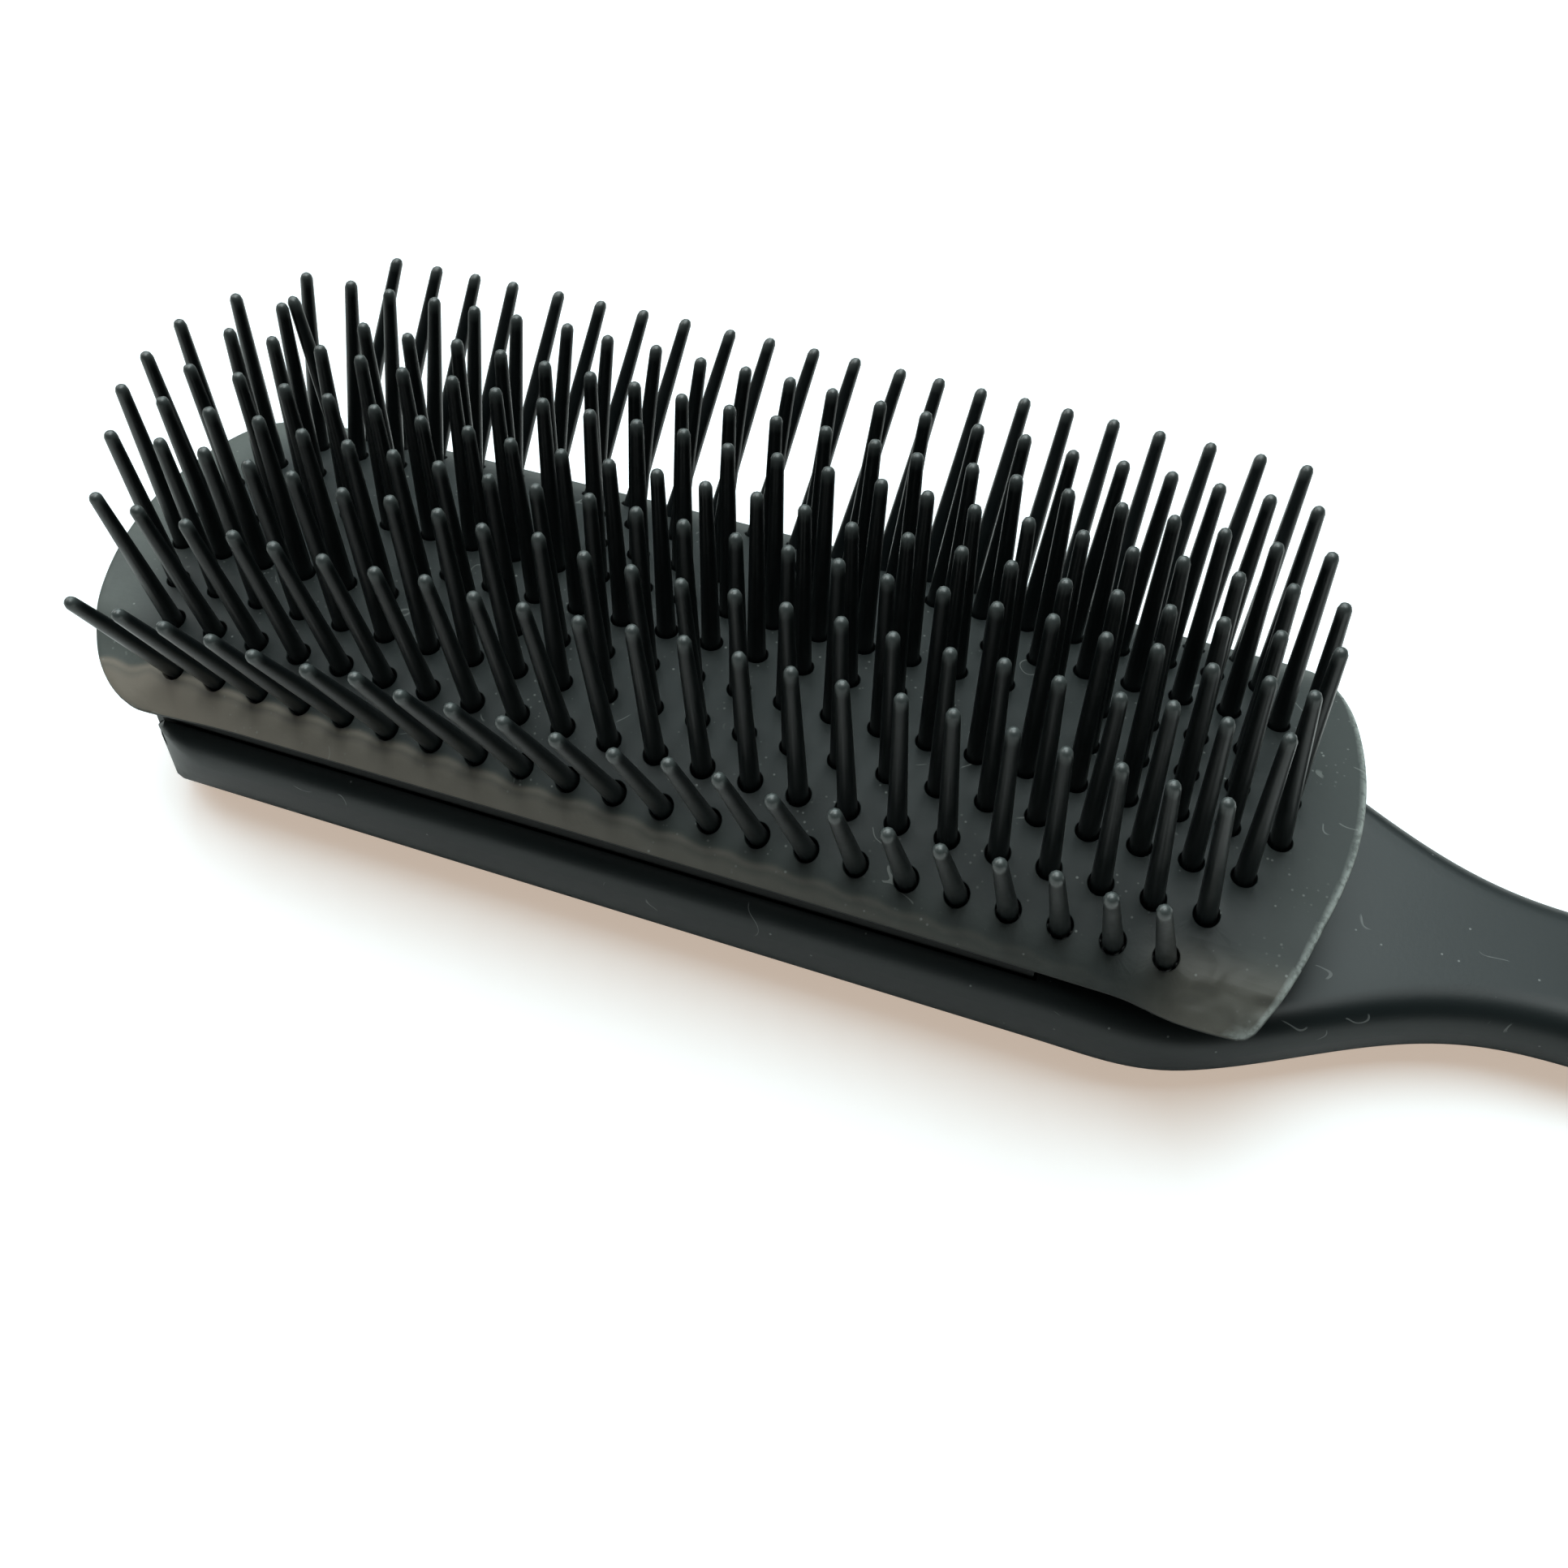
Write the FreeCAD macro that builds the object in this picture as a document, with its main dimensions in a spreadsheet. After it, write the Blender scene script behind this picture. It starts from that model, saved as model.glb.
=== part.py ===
"""Half-round detangling brush lying on its back: plastic handle, slide-in rubber pad, nine pin strips.

X runs along the brush, from the free tip of the pad to the butt of the grip. Y runs across it and Z up.
The origin is on the flat back of the head, under the middle of the pad. All sizes are millimetres.
"""
import FreeCAD, Part
import math
import os
import Sketcher
from FreeCAD import Placement, Rotation, Vector

# Driving sizes of the rubber pad
PAD_SIZES = {
    "end_margin": 6.8,
    "side_margin": 3.42,
    "pad_thickness": 2.0,
    "edge_gap": 1.8,
    "crown_radius": 108.0,
    "crown_half_arc": 12.5,
    "arch_radius": 17.5,
    "skirt_angle": 33.0,
    "tip_end_radius": 40.0,
    "tip_corner_radius": 9.0,
    "tail_end_radius": 42.0,
    "tail_corner_radius": 1.5,
    "foot_inset": 2.3,
    "foot_length": 88.0,
    "stem_width": 0.9,
    "bar_width": 1.8,
    "bar_height": 1.4,
}

# Driving sizes of the pin strips and their holes in the pad
ROW_SIZES = {
    "pin_pitch": 4.6,
    "row_pitch": 4.72,
    "middle_row_pins": 25,
    "pin_length": 19.7,
    "pin_base_diameter": 1.9,
    "pin_tip_diameter": 1.25,
    "spine_diameter": 2.0,
    "spine_overrun": 1.3,
    "spine_gap": 0.25,
    "hole_clearance": 0.25,
}

# Driving sizes of the handle
HANDLE_SIZES = {
    "rail_margin": 0.3,
    "head_depth": 14.1,
    "side_flat": 0.1,
    "rim_radius": 3.4,
    "tip_overhang": 5.2,
    "head_end_radius": 38.0,
    "head_corner_radius": 6.0,
    "keel_radius": 5.0,
    "shoulder_setback": 24.0,
    "shoulder_length": 49.0,
    "neck_width": 15.0,
    "neck_height": 9.45,
    "neck_lift": 1.5,
    "swell_length": 40.0,
    "grip_width": 19.2,
    "grip_height": 15.4,
    "grip_lift": 0.1,
    "taper_length": 30.0,
    "butt_width": 16.6,
    "butt_height": 13.6,
    "butt_lift": 0.9,
    "butt_length": 13.0,
    "wall": 2.5,
    "rail_wall": 2.4,
    "trough_overrun": 3.7,
    "trough_corner_radius": 8.0,
    "slot_clearance": 0.3,
    "slot_lip": 1.9,
    "bulkhead_thickness": 1.6,
    "bulkhead_width": 30.0,
    "bulkhead_setback": 3.2,
    "seat_gap": 0.3,
}

ROWS_EACH_SIDE = 4

# Sizes that follow from the driving ones, as expressions on the sheet
PAD_WIDTH = f"(2 * {ROWS_EACH_SIDE} * dims.row_pitch + 2 * dims.side_margin)"
PAD_LENGTH = "((dims.middle_row_pins - 1) * dims.pin_pitch + 2 * dims.end_margin)"
FOOT_OFFSET = f"({PAD_WIDTH} / 2 - dims.foot_inset)"
HEAD_WIDTH = f"({PAD_WIDTH} + 2 * dims.rail_margin)"
HEAD_TIP = f"(-{PAD_LENGTH} / 2 + dims.tip_overhang)"
SHOULDER_START = f"({PAD_LENGTH} / 2 - dims.shoulder_setback)"
TROUGH_WIDTH = f"(2 * ({FOOT_OFFSET} - dims.bar_width / 2 - dims.slot_clearance - dims.rail_wall))"
TROUGH_LENGTH = f"({SHOULDER_START} + dims.trough_overrun - {HEAD_TIP} - dims.wall)"
FOOT_START = f"({SHOULDER_START} - dims.foot_length)"
SPINE_DEPTH = "(dims.pad_thickness + dims.spine_gap + dims.spine_diameter / 2)"
FOLLOWING_SIZES = {
    "pad_width": PAD_WIDTH,
    "pad_length": PAD_LENGTH,
    "foot_offset": FOOT_OFFSET,
    "head_width": HEAD_WIDTH,
    "head_tip": HEAD_TIP,
    "shoulder_start": SHOULDER_START,
    "spine_depth": SPINE_DEPTH,
}

SHOULDER_STATIONS = (0.06, 0.12, 0.18, 0.24, 0.3, 0.36, 0.5, 0.64, 0.8, 1.0)
SWELL_STATIONS = (0.35, 0.7, 1.0)
TAPER_STATIONS = (0.5, 1.0)
BUTT_STATIONS = (0.4, 0.7, 0.9, 0.98)
ROUNDING_SPEED = 2.9
REACH = 100.0
ACROSS = Rotation(Vector(1, 1, 1), 120)


def make_sheet(doc):
    """A spreadsheet with one aliased cell for each driving size."""
    sheet = doc.addObject("Spreadsheet::Sheet", "dims")
    sizes = {**PAD_SIZES, **ROW_SIZES, **HANDLE_SIZES}
    for line, (alias, value) in enumerate(sizes.items(), start=1):
        sheet.set(f"A{line}", alias)
        sheet.set(f"B{line}", str(value))
        sheet.setAlias(f"B{line}", alias)
    doc.recompute()
    return sheet


def read_sizes(sheet):
    """The sheet's numbers and what follows from them, for shapes that are worked out in this script."""
    sizes = {alias: float(getattr(sheet, alias)) for alias in {**PAD_SIZES, **ROW_SIZES, **HANDLE_SIZES}}
    following = {name: float(sheet.evalExpression(value)) for name, value in FOLLOWING_SIZES.items()}
    return {**sizes, **following}


def bind(item, **expressions):
    """Tie properties of a document object to the sheet; a double underscore stands for a dot."""
    for name, expression in expressions.items():
        item.setExpression(name.replace("__", "."), expression)


class Arch:
    """The pad's cross-section: crown arc, tighter arch arc and straight skirt, on each side alike."""

    def __init__(self, size):
        self.crown = size["crown_radius"]
        self.arch = size["arch_radius"]
        self.half_arc = size["crown_half_arc"]
        self.half_width = size["pad_width"] / 2
        self.turn = self.half_arc / self.crown
        self.skirt = math.radians(size["skirt_angle"])
        bend = self.crown * math.sin(self.turn) + self.arch * (math.sin(self.skirt) - math.sin(self.turn))
        drop = (self.crown * (1 - math.cos(self.turn)) + self.arch * (math.cos(self.turn) - math.cos(self.skirt))
                + (self.half_width - bend) * math.tan(self.skirt) + size["pad_thickness"] * math.cos(self.skirt))
        self.top = size["head_depth"] + size["edge_gap"] + drop
        self.knee = Vector(0, self.crown * math.sin(self.turn),
                           self.top - self.crown * (1 - math.cos(self.turn)))
        self.hub = Vector(0, self.knee.y - self.arch * math.sin(self.turn),
                          self.knee.z - self.arch * math.cos(self.turn))

    def on_arch(self, angle, inset):
        """A point at the given slope on the tighter arc, moved inwards by inset."""
        reach = self.arch - inset
        return self.hub + Vector(0, reach * math.sin(angle), reach * math.cos(angle))

    def along(self, arc):
        """Position and slope on the upper face at an arc length from the crown line."""
        side = math.copysign(1.0, arc)
        run = abs(arc)
        angle = run / self.crown
        spot = Vector(0, self.crown * math.sin(angle), self.top - self.crown * (1 - math.cos(angle)))
        if run > self.half_arc:
            angle = self.turn + (run - self.half_arc) / self.arch
            spot = self.on_arch(min(angle, self.skirt), 0)
        if angle > self.skirt:
            past = (angle - self.skirt) * self.arch
            angle = self.skirt
            spot += Vector(0, past * math.cos(angle), -past * math.sin(angle))
        return Vector(0, side * spot.y, spot.z), side * angle

    def skirt_height(self, y, inset):
        """Height of the straight skirt at y, moved inwards by inset."""
        start = self.on_arch(self.skirt, inset)
        return start.z - (y - start.y) * math.tan(self.skirt)

    def half_edges(self, inset, stop):
        """Edges of one half of the section from the crown line out to the point stop on the skirt."""
        reach = self.crown - inset
        crown_hub = Vector(0, 0, self.top - self.crown)
        top = crown_hub + Vector(0, 0, reach)
        mid = crown_hub + Vector(0, reach * math.sin(self.turn / 2), reach * math.cos(self.turn / 2))
        knee = self.on_arch(self.turn, inset)
        bend = self.on_arch((self.turn + self.skirt) / 2, inset)
        foot = self.on_arch(self.skirt, inset)
        return [Part.Arc(top, mid, knee).toShape(),
                Part.Arc(knee, bend, foot).toShape(),
                Part.LineSegment(foot, stop).toShape()]

    def skirt_stop(self, inset):
        """End of the skirt: the long edge is cut square to it."""
        height = self.skirt_height(self.half_width, 0)
        along, down = inset * math.sin(self.skirt), inset * math.cos(self.skirt)
        return Vector(0, self.half_width - along, height - down)


def mirrored(edges):
    """The same edges on the other side of the plane Y = 0."""
    return [edge.mirror(Vector(0, 0, 0), Vector(0, 1, 0)) for edge in edges]


def face_of(edges):
    """A flat face inside a closed run of edges."""
    wire = Part.Wire(Part.__sortEdges__(edges))
    return Part.Face(wire)


def line(start, end):
    """A straight edge."""
    return Part.LineSegment(start, end).toShape()


def sheet_section(arch, thickness):
    """The pad's own section: upper face, lower face and the two square long edges."""
    upper = arch.half_edges(0, arch.skirt_stop(0))
    lower = arch.half_edges(thickness, arch.skirt_stop(thickness))
    edge = line(arch.skirt_stop(0), arch.skirt_stop(thickness))
    half = upper + lower + [edge]
    return face_of(half + mirrored(half))


def seat_section(arch, inset, half_width, bottom):
    """The bulkhead's section: flat foot and sides under a top that follows the pad's lower face."""
    knee = arch.on_arch(arch.turn, inset)
    slope = math.asin((half_width - arch.hub.y) / (arch.arch - inset))
    bend = arch.on_arch((arch.turn + slope) / 2, inset)
    side = arch.on_arch(slope, inset)
    crown = arch.half_edges(inset, arch.skirt_stop(inset))[0]
    half = [crown, Part.Arc(knee, bend, side).toShape(), line(side, Vector(0, half_width, bottom))]
    foot = line(Vector(0, half_width, bottom), Vector(0, -half_width, bottom))
    return face_of(half + mirrored(half) + [foot])


def end_edges(x_end, end_radius, corner_radius, half_width, facing):
    """A bowed end with rounded corners, and the x where its straight sides begin."""
    hub = x_end - facing * end_radius
    inner = end_radius - corner_radius
    across = half_width - corner_radius
    side_x = hub + facing * math.sqrt(inner ** 2 - across ** 2)
    corner = Vector(side_x, across, 0)
    join = Vector(hub, 0, 0) + (corner - Vector(hub, 0, 0)).normalize() * end_radius
    middle = corner + ((join - corner).normalize() + Vector(0, 1, 0)).normalize() * corner_radius
    side = Vector(side_x, half_width, 0)
    round_corner = Part.Arc(side, middle, join).toShape()
    low_join = Vector(join.x, -join.y, 0)
    bow = Part.Arc(join, Vector(x_end, 0, 0), low_join).toShape()
    return [round_corner, bow] + mirrored([round_corner]), side_x


def pad_outline(size):
    """The pad seen from above: bowed tip and tail between straight long sides."""
    half = size["pad_width"] / 2
    length = size["pad_length"]
    tip, tip_x = end_edges(-length / 2, size["tip_end_radius"], size["tip_corner_radius"], half, -1)
    tail, tail_x = end_edges(length / 2, size["tail_end_radius"], size["tail_corner_radius"], half, 1)
    side = line(Vector(tip_x, half, 0), Vector(tail_x, half, 0))
    return face_of(tip + tail + [side] + mirrored([side]))


def head_outline(size):
    """The head seen from above, from its bowed tip to the start of the shoulder."""
    half = size["head_width"] / 2
    back = size["shoulder_start"]
    tip, tip_x = end_edges(size["head_tip"], size["head_end_radius"], size["head_corner_radius"], half, -1)
    side = line(Vector(tip_x, half, 0), Vector(back, half, 0))
    close = line(Vector(back, half, 0), Vector(back, -half, 0))
    return face_of(tip + [side] + mirrored([side]) + [close])


def keel_outline(size):
    """The head seen from the side: its tip rounds up from the flat back."""
    tip, radius = size["head_tip"], size["keel_radius"]
    top, back = size["head_depth"], size["shoulder_start"]
    corner = Vector(tip + radius, 0, radius)
    bend = corner + Vector(-1, 0, -1).normalize() * radius
    round_tip = Part.Arc(Vector(tip, 0, radius), bend, Vector(tip + radius, 0, 0)).toShape()
    return face_of([round_tip,
                    line(Vector(tip + radius, 0, 0), Vector(back, 0, 0)),
                    line(Vector(back, 0, 0), Vector(back, 0, top)),
                    line(Vector(back, 0, top), Vector(tip, 0, top)),
                    line(Vector(tip, 0, top), Vector(tip, 0, radius))])


def add_shape(doc, name, shape):
    """A document object that holds a worked-out shape."""
    item = doc.addObject("Part::Feature", name)
    item.Shape = shape
    return item


def extrude(doc, name, base, direction, length, back="0"):
    """A straight extrusion of a face or sketch, with its lengths tied to the sheet."""
    item = doc.addObject("Part::Extrusion", name)
    item.Base = base
    item.DirMode = "Custom"
    item.Dir = direction
    item.Solid = True
    bind(item, LengthFwd=length, LengthRev=back)
    return item


def combine(doc, kind, name, shapes):
    """Part::MultiFuse or Part::MultiCommon of several objects."""
    item = doc.addObject(kind, name)
    item.Shapes = shapes
    return item


def cut(doc, name, base, tool):
    """Base without tool."""
    item = doc.addObject("Part::Cut", name)
    item.Base = base
    item.Tool = tool
    return item


def box(doc, name, length, width, height, x, y, z):
    """A box tied to the sheet, from expressions for its sizes and its low corner."""
    item = doc.addObject("Part::Box", name)
    bind(item, Length=length, Width=width, Height=height,
         Placement__Base__x=x, Placement__Base__y=y, Placement__Base__z=z)
    return item


def rounded_section(doc, name, x, width, height, lift, belly, rim):
    """A sketch across the brush: a rectangle with round lower corners (belly) and upper ones (rim)."""
    sketch = doc.addObject("Sketcher::SketchObject", name)
    sketch.Placement = Placement(Vector(0, 0, 0), ACROSS)
    lower, upper, low, tall, wide = [float(sketch.evalExpression(value))
                                     for value in (belly, rim, lift, height, width)]
    half, high = wide / 2, low + tall
    quarter = math.pi / 2
    axis = Vector(0, 0, 1)

    def arc(y, z, radius, start):
        circle = Part.Circle(Vector(y, z, 0), axis, radius)
        return Part.ArcOfCircle(circle, start, start + quarter)

    shapes = [Part.LineSegment(Vector(lower - half, low, 0), Vector(half - lower, low, 0)),
              arc(half - lower, low + lower, lower, -quarter),
              Part.LineSegment(Vector(half, low + lower, 0), Vector(half, high - upper, 0)),
              arc(half - upper, high - upper, upper, 0),
              Part.LineSegment(Vector(half - upper, high, 0), Vector(upper - half, high, 0)),
              arc(upper - half, high - upper, upper, quarter),
              Part.LineSegment(Vector(-half, high - upper, 0), Vector(-half, low + lower, 0)),
              arc(lower - half, low + lower, lower, 2 * quarter)]
    sketch.addGeometry(shapes, False)
    start_point, end_point, origin, upright = 1, 2, -1, -2
    for index in range(len(shapes)):
        following = (index + 1) % len(shapes)
        sketch.addConstraint(Sketcher.Constraint("Tangent", index, end_point, following, start_point))
    for index, kind in ((2, "Vertical"), (4, "Horizontal"), (6, "Vertical")):
        sketch.addConstraint(Sketcher.Constraint(kind, index))
    sketch.addConstraint(Sketcher.Constraint("Equal", 1, 7))
    sketch.addConstraint(Sketcher.Constraint("Equal", 3, 5))
    sketch.addConstraint(Sketcher.Constraint("Symmetric", 0, start_point, 0, end_point, upright))
    named = (("belly", Sketcher.Constraint("Radius", 1, lower), belly),
             ("rim", Sketcher.Constraint("Radius", 3, upper), rim),
             ("lift", Sketcher.Constraint("DistanceY", origin, start_point, 0, start_point, low), lift),
             ("height", Sketcher.Constraint("DistanceY", 0, end_point, 4, start_point, tall), height),
             ("width", Sketcher.Constraint("DistanceX", 6, end_point, 2, start_point, wide), width))
    for title, constraint, expression in named:
        index = sketch.addConstraint(constraint)
        sketch.renameConstraint(index, title)
        sketch.setExpression(f"Constraints.{title}", expression)
    bind(sketch, Placement__Base__x=x)
    return sketch


def between(first, second, share):
    """Expression for a value part of the way from one expression to another."""
    return f"({first}) * {1 - share:.6g} + ({second}) * {share:.6g}"


def ease(share):
    """Smooth step from 0 to 1, level at both ends."""
    return share ** 3 * (share * (share * 6 - 15) + 10)


def flat_topped(width, height, lift):
    """Expressions for a section of the head or neck: a flat top with a tight rim over a round belly."""
    belly = f"({height} - dims.rim_radius - dims.side_flat)"
    return {"width": width, "height": height, "lift": lift, "belly": belly, "rim": "dims.rim_radius"}


def oval(width, height, lift):
    """Expressions that describe a nearly oval section of the grip."""
    corner = f"0.485 * min({width}; {height})"
    return {"width": width, "height": height, "lift": lift, "belly": corner, "rim": corner}


def handle_stations():
    """The sections of shoulder, neck, grip and butt in order: name, x and sizes as expressions."""
    head = flat_topped(HEAD_WIDTH, "dims.head_depth", "0")
    neck = flat_topped("dims.neck_width", "dims.neck_height", "dims.neck_lift")
    grip = oval("dims.grip_width", "dims.grip_height", "dims.grip_lift")
    butt = oval("dims.butt_width", "dims.butt_height", "dims.butt_lift")
    legs = (("Shoulder", head, neck, SHOULDER_STATIONS, "dims.shoulder_length", ROUNDING_SPEED),
            ("Swell", neck, grip, SWELL_STATIONS, "dims.swell_length", 1.0),
            ("Taper", grip, butt, TAPER_STATIONS, "dims.taper_length", 1.0))
    stations = [("HeadSection", SHOULDER_START, head)]
    start = SHOULDER_START
    for title, first, second, shares, length, speed in legs:
        for number, share in enumerate(shares, start=1):
            quick = ease(min(1.0, share * speed))
            mixed = {key: between(first[key], second[key], quick) for key in first}
            mixed["width"] = between(first["width"], second["width"], ease(share))
            stations.append((f"{title}{number}", f"{start} + {share} * {length}", mixed))
        start = f"{start} + {length}"
    for number, share in enumerate(BUTT_STATIONS, start=1):
        shrink = math.sqrt(1 - share ** 2)
        width, height = f"dims.butt_width * {shrink:.6g}", f"dims.butt_height * {shrink:.6g}"
        lift = f"dims.butt_lift + dims.butt_height * {(1 - shrink) / 2:.6g}"
        stations.append((f"Butt{number}", f"{start} + {share} * dims.butt_length", oval(width, height, lift)))
    return stations


def make_handle(doc, size, arch):
    """One moulding: hollow head with two slotted rails, bulkhead under the pad's tail, neck and grip."""
    sketches = [rounded_section(doc, title, x, **sizes) for title, x, sizes in handle_stations()]
    stem = doc.addObject("Part::Loft", "NeckAndGrip")
    stem.Sections = sketches
    stem.Solid = True
    stem.Ruled = False

    run = extrude(doc, "HeadRun", sketches[0], Vector(-1, 0, 0), f"{SHOULDER_START} - {HEAD_TIP}")
    plan = add_shape(doc, "HeadOutline", head_outline(size))
    plan_run = extrude(doc, "HeadOutlineRun", plan, Vector(0, 0, 1), "dims.head_depth")
    keel = add_shape(doc, "KeelOutline", keel_outline(size))
    half_width = f"{HEAD_WIDTH} / 2"
    keel_run = extrude(doc, "KeelRun", keel, Vector(0, 1, 0), half_width, half_width)
    head = combine(doc, "Part::MultiCommon", "Head", [run, plan_run, keel_run])

    inset = size["pad_thickness"] + size["seat_gap"]
    seat = add_shape(doc, "BulkheadSection",
                     seat_section(arch, inset, size["bulkhead_width"] / 2, size["head_depth"] / 2))
    bulkhead = extrude(doc, "Bulkhead", seat, Vector(-1, 0, 0), "dims.bulkhead_thickness")
    bind(bulkhead, Placement__Base__x=f"{PAD_LENGTH} / 2 - dims.bulkhead_setback")
    solid = combine(doc, "Part::MultiFuse", "HandleSolid", [head, stem, bulkhead])

    trough = box(doc, "TroughBox", TROUGH_LENGTH, TROUGH_WIDTH, "dims.head_depth",
                 f"{HEAD_TIP} + dims.wall", f"-{TROUGH_WIDTH} / 2", "dims.wall")
    doc.recompute()
    upright = [number for number, edge in enumerate(trough.Shape.Edges, start=1)
               if edge.BoundBox.ZLength > edge.BoundBox.XLength + edge.BoundBox.YLength]
    hollow = doc.addObject("Part::Fillet", "Trough")
    hollow.Base = trough
    radius = size["trough_corner_radius"]
    hollow.Edges = [(number, radius, radius) for number in upright]

    cutters = [hollow]
    slot_run = f"dims.foot_length + 2 * dims.slot_clearance + {REACH}"
    slot_x = f"{FOOT_START} - dims.slot_clearance - {REACH}"
    for side, title in ((-1, "Near"), (1, "Far")):
        throat = "(dims.stem_width + 2 * dims.slot_clearance)"
        cutters.append(box(doc, f"{title}SlotThroat", slot_run, throat, "dims.slot_lip + dims.seat_gap",
                           slot_x, f"{side} * {FOOT_OFFSET} - {throat} / 2",
                           "dims.head_depth - dims.slot_lip"))
        pocket = "(dims.bar_width + 2 * dims.slot_clearance)"
        deep = "(dims.bar_height + 2 * dims.slot_clearance)"
        cutters.append(box(doc, f"{title}SlotPocket", slot_run, pocket, deep,
                           slot_x, f"{side} * {FOOT_OFFSET} - {pocket} / 2",
                           f"dims.head_depth - dims.slot_lip - {deep}"))
    hollows = combine(doc, "Part::MultiFuse", "HandleHollows", cutters)
    handle = cut(doc, "Handle", solid, hollows)
    handle.Label = "handle"
    return handle


def comb(doc, name, count, spine_radius, make_tooth):
    """A body with a round spine along X and count equal teeth standing on it along local Z."""
    body = doc.addObject("PartDesign::Body", name)
    planes = {plane.Role: plane for plane in body.Origin.OriginFeatures}
    half_run = f"({(count - 1) / 2} * dims.pin_pitch)"
    spine = body.newObject("PartDesign::AdditiveCylinder", f"{name}Spine")
    spine.AttachmentSupport = [(planes["YZ_Plane"], "")]
    spine.MapMode = "FlatFace"
    bind(spine, Radius=spine_radius, Height=f"2 * ({half_run} + dims.spine_overrun)",
         AttachmentOffset__Base__z=f"-{half_run} - dims.spine_overrun")
    tooth = make_tooth(body, name, planes, f"-{half_run}")
    doc.recompute()
    pattern = body.newObject("PartDesign::LinearPattern", f"{name}Pattern")
    pattern.Originals = [tooth]
    pattern.Direction = (planes["X_Axis"], [""])
    pattern.Occurrences = count
    bind(pattern, Length=f"2 * {half_run}")
    body.Tip = pattern
    return body


def pin_tooth(body, name, planes, x):
    """One pin turned about its own axis: straight through the pad, tapered above it, with a round tip."""
    sketch = body.newObject("Sketcher::SketchObject", f"{name}Profile")
    sketch.AttachmentSupport = [(planes["XZ_Plane"], "")]
    sketch.MapMode = "FlatFace"
    foot, shank, neck, tip, total = 0.95, 3.25, 20.0, 0.6, 22.0
    corners = [Vector(0, 0, 0), Vector(foot, 0, 0), Vector(foot, shank, 0), Vector(tip, neck, 0)]
    shapes = [Part.LineSegment(first, second) for first, second in zip(corners, corners[1:])]
    dome = Part.ArcOfCircle(Part.Circle(Vector(0, neck, 0), Vector(0, 0, 1), tip), 0, math.pi / 2)
    shapes += [dome, Part.LineSegment(Vector(0, total, 0), Vector(0, 0, 0))]
    sketch.addGeometry(shapes, False)
    start_point, end_point, centre, origin, upright = 1, 2, 3, -1, -2
    for index in range(len(shapes)):
        following = (index + 1) % len(shapes)
        sketch.addConstraint(Sketcher.Constraint("Coincident", index, end_point, following, start_point))
    sketch.addConstraint(Sketcher.Constraint("Coincident", 0, start_point, origin, start_point))
    sketch.addConstraint(Sketcher.Constraint("Horizontal", 0))
    sketch.addConstraint(Sketcher.Constraint("Vertical", 1))
    sketch.addConstraint(Sketcher.Constraint("Vertical", 4))
    sketch.addConstraint(Sketcher.Constraint("PointOnObject", 3, centre, upright))
    sketch.addConstraint(Sketcher.Constraint("Horizontal", 3, centre, 2, end_point))
    whole = f"{SPINE_DEPTH} + dims.pin_length"
    named = (("foot", Sketcher.Constraint("DistanceX", 0, start_point, 0, end_point, foot),
              "dims.pin_base_diameter / 2"),
             ("shank", Sketcher.Constraint("DistanceY", 1, start_point, 1, end_point, shank), SPINE_DEPTH),
             ("tip", Sketcher.Constraint("Radius", 3, tip), "dims.pin_tip_diameter / 2"),
             ("total", Sketcher.Constraint("DistanceY", 4, end_point, 4, start_point, total), whole))
    for title, constraint, expression in named:
        index = sketch.addConstraint(constraint)
        sketch.renameConstraint(index, title)
        sketch.setExpression(f"Constraints.{title}", expression)
    bind(sketch, AttachmentOffset__Base__x=x)
    turned = body.newObject("PartDesign::Revolution", f"{name}Pin")
    turned.Profile = sketch
    turned.ReferenceAxis = (sketch, ["V_Axis"])
    turned.Angle = 360.0
    return turned


def hole_tooth(body, name, planes, x):
    """One straight hole through the pad, wider than the pin by the clearance all round."""
    drill = body.newObject("PartDesign::AdditiveCylinder", f"{name}Drill")
    drill.AttachmentSupport = [(planes["XY_Plane"], "")]
    drill.MapMode = "FlatFace"
    bind(drill, Radius="dims.pin_base_diameter / 2 + dims.hole_clearance",
         Height=f"{SPINE_DEPTH} + dims.pad_thickness", AttachmentOffset__Base__x=x)
    return drill


def row_placement(arch, size, row):
    """Where a strip's spine lies: under the pad, square to its upper face."""
    spot, slope = arch.along(row * size["row_pitch"])
    inward = Vector(0, -math.sin(slope), -math.cos(slope))
    return Placement(spot + inward * size["spine_depth"], Rotation(Vector(1, 0, 0), -math.degrees(slope)))


def pins_in_row(size, row):
    """The three middle rows are full, and each row further out has one pin less."""
    return int(round(size["middle_row_pins"])) - max(0, abs(row) - 1)


def make_rows(doc, size, arch):
    """The nine pin strips, and the nine drills for their holes in the pad."""
    strips, drills = [], []
    for row in range(-ROWS_EACH_SIDE, ROWS_EACH_SIDE + 1):
        number = row + ROWS_EACH_SIDE + 1
        count = pins_in_row(size, row)
        strip = comb(doc, f"PinRow{number}", count, "dims.spine_diameter / 2", pin_tooth)
        drill = comb(doc, f"HoleRow{number}", count, "dims.spine_diameter / 4", hole_tooth)
        for body in (strip, drill):
            body.Placement = row_placement(arch, size, row)
        strip.Label = f"pin_row_{number}"
        strips.append(strip)
        drills.append(drill)
    return strips, drills


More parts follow.
